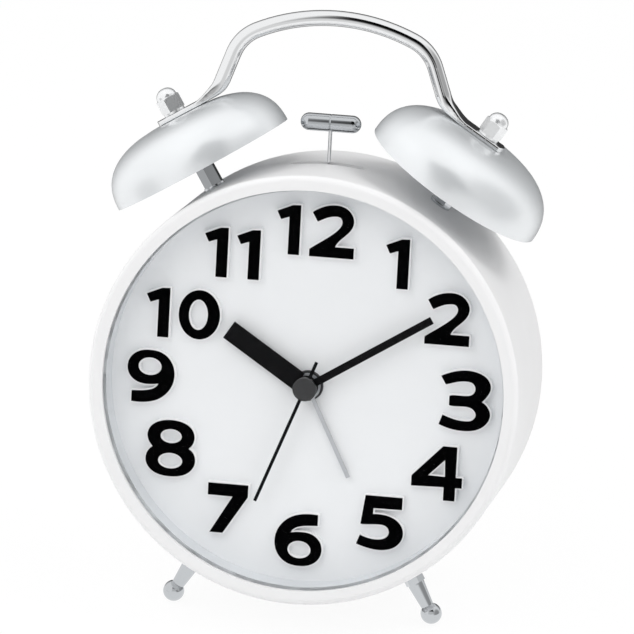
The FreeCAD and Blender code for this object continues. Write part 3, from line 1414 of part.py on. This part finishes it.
# ---------------------------------------------------------------- hammer and ringer
def make_ringer():
    """Electromagnet ringer on the chassis shelf: two coils rock the lever that carries the hammer."""
    depth = "ringer_depth"
    front = f"({depth} - ringer_half_depth)"
    back = f"({depth} + ringer_half_depth)"
    body = new_body("ringer_frame")
    base = box_corners("-ringer_half_length", "ringer_half_length", SHELF_TOP, FRAME_TOP)
    plate(body, front, back, [base])
    ear = box_corners("-ear_half_width", "ear_half_width", f"{SHELF_TOP} + ringer_frame_sheet / 2", EAR_TOP)
    pin_hole = ("0", PIVOT_UP, "pin_radius + thread_gap")
    plate(body, front, f"{front} + ringer_frame_sheet", [ear], [pin_hole])
    plate(body, f"{back} - ringer_frame_sheet", back, [ear], [pin_hole])

    pin = new_body("hammer_pivot_pin")
    plate(pin, front, back, circles=[("0", PIVOT_UP, "pin_radius")])

    y = size(depth)
    coils = []
    cores = []
    for side in (-1, 1):
        foot = Vector(side * size("ringer_coil_offset"), y, size(FRAME_TOP))
        winding = Part.makeCylinder(size("ringer_coil_radius"), size("ringer_coil_height"), foot)
        core = Part.makeCylinder(size("ringer_core_radius"), size("ringer_core_height"), foot)
        bore = Part.makeCylinder(size("ringer_core_radius + thread_gap"), size("ringer_core_height"), foot)
        coils.append(winding.cut(bore))
        cores.append(core)
    new_feature("ringer_coils", Part.makeCompound(coils))
    new_feature("ringer_cores", Part.makeCompound(cores))

    # the lever's arms lie above its hub, so that they clear the cores at the end of the swing
    lever_front = f"{depth} - lever_half_depth"
    lever_back = f"{depth} + lever_half_depth"
    lever = new_body("hammer_lever")
    plate(lever, lever_front, lever_back, circles=[
        ("0", PIVOT_UP, "lever_hub_radius"),
        ("0", PIVOT_UP, "pin_radius + running_gap"),
    ])
    arm_top = f"({PIVOT_UP} + lever_hub_radius - lever_arm_drop)"
    plate(lever, lever_front, lever_back,
          [box_corners("-lever_reach", "lever_reach", f"{arm_top} - lever_thickness", arm_top)])
    upright = Placement(Vector(0, y, 0), Rotation())
    socket_length = f"({SHELF_TOP} + rod_socket_rise - {arm_top} + overlap)"
    cylinder(lever, "Additive", "rod_radius + rod_socket_wall", socket_length, upright,
             f"{arm_top} - overlap")
    cylinder(lever, "Subtractive", "rod_radius + thread_gap", socket_length, upright, arm_top)

    rod = new_body("hammer_rod", upright)
    revolve(rod, box_corners("0", "rod_radius", f"{arm_top} + fit_gap", HAMMER_UP), "XZ_Plane")

    head = new_body("hammer_head", Placement(Vector(0, y, size(HAMMER_UP)), Rotation(Vector(0, 1, 0), 90)))
    half = "hammer_length / 2"
    shoulder = "(hammer_length / 2 - hammer_radius)"
    groove = "(rod_radius / 2)"
    revolve(head, [
        ("0", f"-{half}"),
        ("hammer_radius", f"-{shoulder}", "hammer_radius"),
        ("hammer_radius", f"-{groove}"),
        (f"hammer_radius - {groove} / 2", "0"),
        ("hammer_radius", groove),
        ("hammer_radius", shoulder),
        ("0", half, "hammer_radius"),
    ], "XZ_Plane")
    cylinder(head, "Subtractive", "rod_radius + thread_gap", "hammer_radius * 2",
             Placement(Vector(), Rotation(Vector(0, 1, 0), 90)), "-thread_gap")


# ---------------------------------------------------------------- feet
def make_foot(label, bearing):
    """Turned foot: stud, hexagon against the drum, tapered shank and ball."""
    body = new_body(label, radial(bearing, size("foot_depth")))
    hex_bottom = "(drum_radius + seat_gap)"
    hex_top = f"({hex_bottom} + foot_hex_height)"
    neck = "sqrt(foot_ball_radius ^ 2 - foot_cone_bottom ^ 2)"
    revolve(body, [
        ("0", STUD_BOTTOM),
        ("stud_radius", STUD_BOTTOM),
        ("stud_radius", hex_bottom),
        ("foot_cone_top", hex_bottom),
        ("foot_cone_top", f"{hex_top} + foot_collar"),
        ("foot_cone_bottom", f"{FOOT_BALL} - {neck}"),
        ("foot_ball_radius", FOOT_BALL, "foot_ball_radius"),
        ("0", f"{FOOT_BALL} + foot_ball_radius", "foot_ball_radius"),
    ], "XZ_Plane")
    flats = new_sketch(body, "XY_Plane", hex_bottom)
    corners = []
    corner_radius = "foot_across_flats / sqrt(3)"
    for side in range(6):
        turn = 60 * side
        corners.append((f"{corner_radius} * cos({turn}deg)", f"{corner_radius} * sin({turn}deg)"))
    draw_outline(flats, corners)
    pad = body.newObject("PartDesign::Pad", f"{label}_hexagon")
    pad.Profile = flats
    pad.setExpression("Length", bind("foot_hex_height"))
    doc.recompute()


def check_and_write():
    """Stop on any failed object or bad shape, then write one STEP file for each sub-part."""
    doc.recompute()
    for item in doc.Objects:
        if any(state in ("Invalid", "Error") for state in item.State):
            raise RuntimeError(f"{item.Label}: {item.State}")
    for item in SUBPARTS:
        if item.Shape.isNull() or not item.Shape.isValid():
            raise RuntimeError(f"{item.Label}: shape is null or not valid")
    os.makedirs("parts", exist_ok=True)
    for item in SUBPARTS:
        item.Shape.exportStep(f"parts/{item.Label}.step")


make_case_drum()
make_lens()
make_dial_spacer_ring()
make_dial()
make_numerals()
make_hands()
make_chassis()
make_back()
make_battery()
make_movement()
make_motor()
make_gears()
make_alarm_switch()
make_bells()
make_handle()
make_ringer()
make_foot("left_foot", size("foot_angle - 180"))
make_foot("right_foot", size("180 - foot_angle"))
check_and_write()
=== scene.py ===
"""Twin-bell alarm clock: looks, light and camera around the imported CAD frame.

Every visible surface is a CAD node, which keeps its shape and gets a node material here. The floor
and two dark cards that only mirrors see are the stage. Lengths are in metres, angles in degrees,
unless a name says otherwise.
"""

import json
import math

import bpy
from mathutils import Matrix, Vector

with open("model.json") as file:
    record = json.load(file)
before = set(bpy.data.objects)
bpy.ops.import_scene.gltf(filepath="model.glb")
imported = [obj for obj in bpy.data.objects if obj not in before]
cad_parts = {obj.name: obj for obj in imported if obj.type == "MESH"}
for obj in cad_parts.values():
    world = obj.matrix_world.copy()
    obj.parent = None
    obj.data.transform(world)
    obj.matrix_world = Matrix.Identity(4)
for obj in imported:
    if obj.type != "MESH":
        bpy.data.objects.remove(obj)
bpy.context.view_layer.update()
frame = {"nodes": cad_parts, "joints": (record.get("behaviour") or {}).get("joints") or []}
nodes = frame["nodes"]
joints = {joint["name"]: joint for joint in frame["joints"]}

# The clock's own axes: the hands turn about the dial axis, which leans back with the drum. Their
# origin is where that axis meets the plane of the drum's front lip.
HANDS_PIVOT = Vector(joints["second_spin"]["pos_m"])
INTO_CLOCK = Vector(joints["second_spin"]["axis"]).normalized()
RIGHT = Vector((1, 0, 0))
DIAL_UP = RIGHT.cross(INTO_CLOCK)
LIP_TO_PIVOT = 0.0152
FRONT_CENTRE = HANDS_PIVOT - INTO_CLOCK * LIP_TO_PIVOT
CLOCK_AXES = Matrix((RIGHT, INTO_CLOCK, DIAL_UP)).transposed().to_4x4()
CLOCK = Matrix.Translation(FRONT_CENTRE) @ CLOCK_AXES

MICRON = 0.000001
# Surfaces: detail of the noise, and how much coarser the cloud of colour is than the grain.
NOISE_DETAIL = 4
CLOUD_TO_GRAIN = 8
# Lens: its faint tint and haze. The low IOR keeps the dial free of the room's reflection.
LENS_TINT = (0.985, 0.99, 0.995, 1)
LENS_IOR = 1.04
LENS_HAZE = (0, 0.012)
LENS_HAZE_SCALE = 60

# Floor: how much of what the camera sees is plain white, the rest being its lit and shaded paint.
FLOOR_SIZE = 8
FLOOR_WHITE_SHARE = 0.93
FLOOR_TONES = ((0.93, 0.93, 0.93), (0.95, 0.95, 0.95))
FLOOR_TONE_SCALE = 40
FLOOR_ROUGHNESS = 0.8
FLOOR_SPECULAR = 0.1
WHITE = 1
EVEN_LIGHT = 0.62
MIRROR_CENTRE = (0, 0, 0.13)

# Grey and dark parts of the room that the chrome mirrors. Towards is an azimuth from straight in
# front of the clock towards its right side, and an elevation. The shade is full within core
# degrees of it and gone beyond edge.
PATCHES = (
    {"towards": (75, 12), "core": 18, "edge": 46, "shade": 0.6},     # grey to the right
    {"towards": (-60, -18), "core": 6, "edge": 24, "shade": 0.45},   # grey low on the left
    {"towards": (182, -6), "core": 4, "edge": 66, "shade": 0.96},    # dark wall behind
)
# Dark cards in front of the clock, seen only by mirrors. Depth is the plane that they stand in.
# Each pair runs from where the card is clear to where it is dark: at the left, right and top edges,
# and upwards as it turns grey and then black. Grey is how dark its grey part is.
CARDS = {
    "wide_card": {
        "depth": -0.25, "left": (-0.12, -0.03), "right": (0.32, 0.18), "top": (0.64, 0.58),
        "grey_from": (0.001, 0.1), "black_from": (0.15, 0.29), "grey": 0.28,
    },
    "near_card": {
        "depth": -0.12, "left": (0.018, 0.03), "right": (0.066, 0.05), "top": (0.2, 0.182),
        "grey_from": (0.148, 0.162), "black_from": (0.148, 0.162), "grey": 0.3,
    },
}
# Round soft lamps: where they hang, what they point at, their diameter, and their power in watts.
LAMPS = {
    "key": {"place": (-0.4, -0.85, 1.1), "aim": (0, 0, 0.08), "width": 1.2, "power": 5.4},
    "fill": {"place": (0.9, -0.6, 0.6), "aim": (0, 0, 0.07), "width": 1, "power": 1.6},
    "top_right": {"place": (0.65, 0.05, 1.05), "aim": (0, 0, 0.1), "width": 0.6, "power": 3.4},
    "top_left": {"place": (-0.65, 0.05, 1.05), "aim": (0, 0, 0.1), "width": 0.6, "power": 2.6},
    "right": {"place": (1.05, 0.15, 0.35), "aim": (0, 0, 0.07), "width": 1, "power": 1.2},
    "left": {"place": (-1.05, 0.05, 0.35), "aim": (0, 0, 0.07), "width": 1, "power": 1.8},
}

# Camera, fitted to the dial's ellipse and to the places of the bells, posts and feet. Its angles
# are in radians in the clock's own axes, and its distance is in millimetres from FRONT_CENTRE,
# which falls on pixel CENTRE_AT of the square picture.
CAMERA_AZIMUTH, CAMERA_ELEVATION, CAMERA_ROLL = 0.1614, 0.1907, 0.0526
CAMERA_DISTANCE_MM = 1645.4
FOCAL_PIXELS = 5988.8
PICTURE_PIXELS = 634
CENTRE_AT = (301.534, 392.293)
SENSOR_WIDTH_MM = 36
CLIP_START, CLIP_END = 0.1, 20


# ---------------------------------------------------------------- nodes
def new_material(name):
    material = bpy.data.materials.new(name)
    material.use_nodes = True
    tree = material.node_tree
    return material, tree, tree.nodes["Principled BSDF"]


def noise(tree, scale, stretch=None):
    """Noise value over the object, scaled per metre."""
    place = tree.nodes.new("ShaderNodeTexCoord")
    texture = tree.nodes.new("ShaderNodeTexNoise")
    texture.inputs["Scale"].default_value = scale
    texture.inputs["Detail"].default_value = NOISE_DETAIL
    source = place.outputs["Object"]
    if stretch:
        mapping = tree.nodes.new("ShaderNodeMapping")
        mapping.inputs["Scale"].default_value = stretch
        tree.links.new(source, mapping.inputs["Vector"])
        source = mapping.outputs["Vector"]
    tree.links.new(source, texture.inputs["Vector"])
    return texture.outputs["Fac"]


def map_range(tree, value, start=(0, 1), result=(0, 1), smooth=False):
    """Value mapped from one range onto another."""
    ramp = tree.nodes.new("ShaderNodeMapRange")
    if smooth:
        ramp.interpolation_type = "SMOOTHSTEP"
    ramp.inputs["From Min"].default_value, ramp.inputs["From Max"].default_value = start
    ramp.inputs["To Min"].default_value, ramp.inputs["To Max"].default_value = result
    tree.links.new(value, ramp.inputs["Value"])
    return ramp.outputs["Result"]


def two_tone(tree, value, dark, light):
    """Colour between dark, where the value is 0, and light, where it is 1."""
    mix = tree.nodes.new("ShaderNodeMix")
    mix.data_type = "RGBA"
    mix.inputs["A"].default_value = (*dark, 1)
    mix.inputs["B"].default_value = (*light, 1)
    tree.links.new(value, mix.inputs["Factor"])
    return mix.outputs["Result"]


def bump(tree, shader, value, height):
    """Raise the surface by a 0..1 value times a height."""
    relief = tree.nodes.new("ShaderNodeBump")
    relief.inputs["Strength"].default_value = 1
    relief.inputs["Distance"].default_value = height
    tree.links.new(value, relief.inputs["Height"])
    tree.links.new(relief.outputs["Normal"], shader.inputs["Normal"])


def feed(tree, socket, value):
    """Set a socket to a number, or link it to another node's output."""
    if isinstance(value, (int, float)):
        socket.default_value = value
    else:
        tree.links.new(value, socket)


def arithmetic(tree, operation, first, second):
    """Result of an operation on two numbers or outputs."""
    step = tree.nodes.new("ShaderNodeMath")
    step.operation = operation
    feed(tree, step.inputs[0], first)
    feed(tree, step.inputs[1], second)
    return step.outputs[0]


def mix_shaders(tree, share, first, second):
    """The first shader where share is 0, and the second where it is 1."""
    mix = tree.nodes.new("ShaderNodeMixShader")
    for socket, source in zip(mix.inputs, (share, first, second)):
        tree.links.new(source, socket)
    return mix.outputs[0]


def white_light(tree, kind, strength):
    """White Emission or Background shader of a strength."""
    light = tree.nodes.new(kind)
    light.inputs["Color"].default_value = (1, 1, 1, 1)
    feed(tree, light.inputs["Strength"], strength)
    return light.outputs[0]


# ---------------------------------------------------------------- materials
def surface(name, dark, light, roughness, scale, height=0, metallic=0, specular=0.5, stretch=None,
            coat=0, coat_roughness=0.08, coat_ior=1.5):
    """Material with a slight cloud of colour, uneven roughness and a fine relief."""
    material, tree, shader = new_material(name)
    shader.inputs["Metallic"].default_value = metallic
    shader.inputs["Specular IOR Level"].default_value = specular
    shader.inputs["Coat Weight"].default_value = coat
    shader.inputs["Coat Roughness"].default_value = coat_roughness
    shader.inputs["Coat IOR"].default_value = coat_ior
    cloud = noise(tree, scale / CLOUD_TO_GRAIN, stretch)
    grain = noise(tree, scale, stretch)
    tree.links.new(two_tone(tree, cloud, dark, light), shader.inputs["Base Color"])
    tree.links.new(map_range(tree, grain, result=roughness), shader.inputs["Roughness"])
    if height:
        bump(tree, shader, grain, height)
    return material


def glass(name):
    """Clear lens that lets the light on the dial straight through."""
    material, tree, shader = new_material(name)
    shader.inputs["Transmission Weight"].default_value = 1
    shader.inputs["Base Color"].default_value = LENS_TINT
    shader.inputs["IOR"].default_value = LENS_IOR
    haze = map_range(tree, noise(tree, LENS_HAZE_SCALE), result=LENS_HAZE)
    tree.links.new(haze, shader.inputs["Roughness"])
    clear = tree.nodes.new("ShaderNodeBsdfTransparent")
    path = tree.nodes.new("ShaderNodeLightPath")
    straight = arithmetic(tree, "MAXIMUM", path.outputs["Is Shadow Ray"],
                          path.outputs["Is Diffuse Ray"])
    lens = mix_shaders(tree, straight, shader.outputs[0], clear.outputs[0])
    tree.links.new(lens, tree.nodes["Material Output"].inputs["Surface"])
    return material


WHITE_PAINT = surface("white_paint", (0.77, 0.77, 0.775), (0.795, 0.795, 0.80),
                      roughness=(0.28, 0.36), scale=700, height=4 * MICRON, specular=0.03)
# The spacer ring is white. Its darker, bluish grey base colour is painted shade for its place in
# the recess between lens and dial.
RING_PAINTED_SHADE = surface("ring_painted_shade", (0.67, 0.69, 0.71), (0.70, 0.72, 0.74),
                     roughness=(0.45, 0.55), scale=700, height=3 * MICRON, specular=0.03)
DIAL_WHITE = surface("dial_white", (0.80, 0.81, 0.82), (0.82, 0.83, 0.84),
                     roughness=(0.5, 0.6), scale=1500, height=3 * MICRON, specular=0.05)
BLOCK_WHITE = surface("block_white", (0.84, 0.84, 0.845), (0.86, 0.86, 0.865),
                      roughness=(0.25, 0.32), scale=900, height=3 * MICRON, specular=0.2)
BLOCK_BLACK = surface("block_black", (0.0008, 0.0008, 0.001), (0.0014, 0.0014, 0.0016),
                      roughness=(0.35, 0.45), scale=1500, height=3 * MICRON, specular=0)
HAND_BLACK = surface("hand_black", (0.004, 0.004, 0.0045), (0.006, 0.006, 0.0065),
                     roughness=(0.4, 0.5), scale=2500, height=4 * MICRON, specular=0.03)
CAP_BLACK = surface("cap_black", (0.012, 0.012, 0.013), (0.018, 0.018, 0.019),
                    roughness=(0.2, 0.3), scale=2500, height=4 * MICRON)
HAND_SILVER = surface("hand_silver", (0.42, 0.43, 0.45), (0.47, 0.48, 0.5),
                      roughness=(0.3, 0.4), scale=2500, height=2 * MICRON, metallic=0.6)
BELL_CHROME = surface("bell_chrome", (0.74, 0.765, 0.785), (0.76, 0.785, 0.805),
                      roughness=(0.42, 0.5), scale=300, metallic=0.35,
                      coat=1, coat_roughness=0.24, coat_ior=3.1)
NUT_CHROME = surface("nut_chrome", (0.80, 0.815, 0.83), (0.84, 0.85, 0.86),
                     roughness=(0.2, 0.26), scale=300, metallic=0.5,
                     coat=1, coat_roughness=0.02, coat_ior=4)
CHROME = surface("bright_chrome", (0.84, 0.85, 0.86), (0.88, 0.885, 0.89),
                 roughness=(0.07, 0.11), scale=300, metallic=1)
DARK_CHROME = surface("dark_chrome", (0.54, 0.56, 0.58), (0.58, 0.60, 0.62),
                      roughness=(0.04, 0.08), scale=300, metallic=1)
STEEL = surface("plain_steel", (0.45, 0.46, 0.47), (0.52, 0.53, 0.54),
                roughness=(0.25, 0.4), scale=1500, height=4 * MICRON, metallic=1)
BACK_WHITE = surface("back_white", (0.74, 0.74, 0.745), (0.78, 0.78, 0.785),
                     roughness=(0.45, 0.6), scale=2600, height=20 * MICRON)
INNER_GREY = surface("inner_grey", (0.55, 0.55, 0.55), (0.62, 0.62, 0.62),
                     roughness=(0.5, 0.6), scale=1200, height=10 * MICRON)
CASE_BLACK = surface("case_black", (0.02, 0.02, 0.021), (0.03, 0.03, 0.031),
                     roughness=(0.45, 0.6), scale=1800, height=10 * MICRON)
ACETAL = surface("acetal", (0.72, 0.71, 0.66), (0.78, 0.77, 0.72),
                 roughness=(0.35, 0.5), scale=1800, height=5 * MICRON)
BOARD = surface("board_green", (0.02, 0.12, 0.05), (0.03, 0.16, 0.07),
                roughness=(0.3, 0.45), scale=1800, height=5 * MICRON)
COPPER = surface("copper_wire", (0.36, 0.11, 0.04), (0.5, 0.18, 0.07),
                 roughness=(0.25, 0.4), scale=2500, height=20 * MICRON, metallic=0.8,
                 stretch=(1, 1, 8))
SLEEVE = surface("battery_sleeve", (0.03, 0.035, 0.04), (0.045, 0.05, 0.055),
                 roughness=(0.2, 0.3), scale=900, height=2 * MICRON)
LENS = glass("clear_lens")

# What isn't named here, nor one of the twelve numeral blocks, is a wheel or another acetal part.
LOOKS = {
    "case_drum": WHITE_PAINT,
    "dial_spacer_ring": RING_PAINTED_SHADE,
    "dial": DIAL_WHITE,
    "lens": LENS,
    "numeral_faces": BLOCK_BLACK,
    "hour_hand": HAND_BLACK,
    "minute_hand": HAND_BLACK,
    "second_hand": HAND_BLACK,
    "second_hand_cap": CAP_BLACK,
    "alarm_hand": HAND_SILVER,
    "left_bell": BELL_CHROME,
    "right_bell": BELL_CHROME,
    "bell_posts": DARK_CHROME,
    "bell_washers": DARK_CHROME,
    "handle": CHROME,
    "acorn_nuts": NUT_CHROME,
    "left_foot": DARK_CHROME,
    "right_foot": DARK_CHROME,
    "hammer_rod": CHROME,
    "hammer_head": DARK_CHROME,
    "chassis": INNER_GREY,
    "back_cover": BACK_WHITE,
    "battery_door": BACK_WHITE,
    "time_set_knob": BACK_WHITE,
    "alarm_set_knob": BACK_WHITE,
    "alarm_switch": BACK_WHITE,
    "back_cover_screws": STEEL,
    "battery": SLEEVE,
    "battery_contacts": STEEL,
    "movement_front_case": CASE_BLACK,
    "movement_back_case": CASE_BLACK,
    "circuit_board": BOARD,
    "stepper_coil": COPPER,
    "ringer_coils": COPPER,
    "stator": STEEL,
    "ringer_frame": STEEL,
    "ringer_cores": STEEL,
    "hammer_lever": STEEL,
    "hammer_pivot_pin": STEEL,
}
LOOKS.update({f"numeral_{hour}": BLOCK_WHITE for hour in range(1, 13)})
for name, node in nodes.items():
    node.data.materials.clear()
    node.data.materials.append(LOOKS.get(name, ACETAL))


# ---------------------------------------------------------------- stage, light, camera
def direction(azimuth, elevation):
    """Unit vector from radians: azimuth from straight in front towards the right side."""
    return Vector((math.sin(azimuth) * math.cos(elevation),
                   -math.cos(azimuth) * math.cos(elevation), math.sin(elevation)))


def room_shade(tree, towards):
    """Brightness of the room in a direction, as metal and glass see it."""
    shade = None
    for patch in PATCHES:
        along = tree.nodes.new("ShaderNodeVectorMath")
        along.operation = "DOT_PRODUCT"
        along.inputs[1].default_value = direction(*map(math.radians, patch["towards"]))
        tree.links.new(towards, along.inputs[0])
        reach = [math.cos(math.radians(patch[limit])) for limit in ("edge", "core")]
        fade = map_range(tree, along.outputs["Value"], reach, (1, 1 - patch["shade"]), smooth=True)
        shade = fade if shade is None else arithmetic(tree, "MULTIPLY", shade, fade)
    return shade


def make_floor():
    """Pale floor: white to the camera but for the shadow, and the room's shades to mirrors."""
    bpy.ops.mesh.primitive_plane_add(size=FLOOR_SIZE, location=(0, 0, 0))
    floor = bpy.context.object
    floor.name = "floor"
    material, tree, shader = new_material("floor_white")
    shader.inputs["Roughness"].default_value = FLOOR_ROUGHNESS
    shader.inputs["Specular IOR Level"].default_value = FLOOR_SPECULAR
    tree.links.new(two_tone(tree, noise(tree, FLOOR_TONE_SCALE), *FLOOR_TONES),
                   shader.inputs["Base Color"])
    path = tree.nodes.new("ShaderNodeLightPath")
    seen = arithmetic(tree, "MAXIMUM", path.outputs["Is Camera Ray"],
                      path.outputs["Is Transmission Ray"])
    share = arithmetic(tree, "MULTIPLY", seen, FLOOR_WHITE_SHARE)
    plain = white_light(tree, "ShaderNodeEmission", WHITE)
    lit = mix_shaders(tree, share, shader.outputs[0], plain)

    place = tree.nodes.new("ShaderNodeTexCoord")
    from_clock = tree.nodes.new("ShaderNodeVectorMath")
    from_clock.operation = "SUBTRACT"
    from_clock.inputs[1].default_value = MIRROR_CENTRE
    tree.links.new(place.outputs["Object"], from_clock.inputs[0])
    unit = tree.nodes.new("ShaderNodeVectorMath")
    unit.operation = "NORMALIZE"
    tree.links.new(from_clock.outputs[0], unit.inputs[0])
    mirrored = white_light(tree, "ShaderNodeEmission", room_shade(tree, unit.outputs[0]))
    whole = mix_shaders(tree, path.outputs["Is Glossy Ray"], lit, mirrored)
    tree.links.new(whole, tree.nodes["Material Output"].inputs["Surface"])
    floor.data.materials.append(material)


def make_card(name, depth, left, right, top, grey_from, black_from, grey):
    """Photographer's dark card, so that rounded chrome shows a dark streak along its middle."""
    bottom = grey_from[0]
    corners = [(left[0], depth, bottom), (right[0], depth, bottom),
               (right[0], depth, top[0]), (left[0], depth, top[0])]
    mesh = bpy.data.meshes.new(name)
    mesh.from_pydata(corners, [], [(0, 1, 2, 3)])
    card = bpy.data.objects.new(name, mesh)
    bpy.context.scene.collection.objects.link(card)
    material = bpy.data.materials.new(name)
    material.use_nodes = True
    tree = material.node_tree
    tree.nodes.clear()
    place = tree.nodes.new("ShaderNodeTexCoord")
    split = tree.nodes.new("ShaderNodeSeparateXYZ")
    tree.links.new(place.outputs["Object"], split.inputs[0])
    across, height = split.outputs["X"], split.outputs["Z"]
    greyed = arithmetic(tree, "MULTIPLY", map_range(tree, height, grey_from, smooth=True), grey)
    blacked = arithmetic(tree, "MULTIPLY", map_range(tree, height, black_from, smooth=True),
                         1 - grey)
    cover = arithmetic(tree, "ADD", greyed, blacked)
    for value, edge in ((across, left), (across, right), (height, top)):
        cover = arithmetic(tree, "MULTIPLY", cover, map_range(tree, value, edge, smooth=True))
    clear = tree.nodes.new("ShaderNodeBsdfTransparent")
    dark = white_light(tree, "ShaderNodeEmission", 0)
    output = tree.nodes.new("ShaderNodeOutputMaterial")
    tree.links.new(mix_shaders(tree, cover, clear.outputs[0], dark), output.inputs["Surface"])
    mesh.materials.append(material)
    card.visible_camera = False
    card.visible_diffuse = False
    card.visible_transmission = False
    card.visible_shadow = False


def make_world():
    """Even pale light. The camera sees white, and mirrors see the room's shades."""
    world = bpy.data.worlds.new("studio")
    bpy.context.scene.world = world
    world.use_nodes = True
    tree = world.node_tree
    tree.nodes.clear()
    output = tree.nodes.new("ShaderNodeOutputWorld")
    path = tree.nodes.new("ShaderNodeLightPath")
    place = tree.nodes.new("ShaderNodeTexCoord")
    shade = room_shade(tree, place.outputs["Generated"])
    colour = white_light(tree, "ShaderNodeBackground", EVEN_LIGHT)
    for ray, strength in (("Is Camera Ray", WHITE), ("Is Transmission Ray", WHITE),
                          ("Is Glossy Ray", shade)):
        seen = white_light(tree, "ShaderNodeBackground", strength)
        colour = mix_shaders(tree, path.outputs[ray], colour, seen)
    tree.links.new(colour, output.inputs["Surface"])


def area_lamp(name, place, aim, width, power):
    """Round soft lamp, which mirrors don't show."""
    light = bpy.data.lights.new(name, "AREA")
    light.shape = "DISK"
    light.size = width
    light.energy = power
    lamp = bpy.data.objects.new(name, light)
    bpy.context.scene.collection.objects.link(lamp)
    lamp.location = place
    lamp.rotation_mode = "QUATERNION"
    lamp.rotation_quaternion = (Vector(aim) - Vector(place)).to_track_quat("-Z", "Y")
    lamp.visible_glossy = False


def make_camera():
    """Camera at the photograph's place, turned so that FRONT_CENTRE falls on CENTRE_AT."""
    towards = direction(CAMERA_AZIMUTH, CAMERA_ELEVATION)
    forward = -towards
    right = forward.cross(Vector((0, 0, 1))).normalized()
    up = right.cross(forward)
    turned_right = right * math.cos(CAMERA_ROLL) + up * math.sin(CAMERA_ROLL)
    turned_up = up * math.cos(CAMERA_ROLL) - right * math.sin(CAMERA_ROLL)
    across, down = ((at - PICTURE_PIXELS / 2) / FOCAL_PIXELS for at in CENTRE_AT)
    aim = (forward - turned_right * across + turned_up * down).normalized()
    turned_right = (turned_right - aim * turned_right.dot(aim)).normalized()
    turned_up = turned_right.cross(aim)
    pose = Matrix((turned_right, turned_up, -aim)).transposed().to_4x4()

    data = bpy.data.cameras.new("camera")
    data.sensor_width = SENSOR_WIDTH_MM
    data.lens = FOCAL_PIXELS * SENSOR_WIDTH_MM / PICTURE_PIXELS
    data.clip_start = CLIP_START
    data.clip_end = CLIP_END
    camera = bpy.data.objects.new("camera", data)
    bpy.context.scene.collection.objects.link(camera)
    place = CLOCK @ (towards * CAMERA_DISTANCE_MM / 1000)
    camera.matrix_world = Matrix.Translation(place) @ CLOCK_AXES @ pose
    bpy.context.scene.camera = camera


make_floor()
make_world()
for name, card in CARDS.items():
    make_card(name, **card)
for name, lamp in LAMPS.items():
    area_lamp(name, **lamp)
make_camera()
bpy.context.scene.view_settings.view_transform = "Standard"
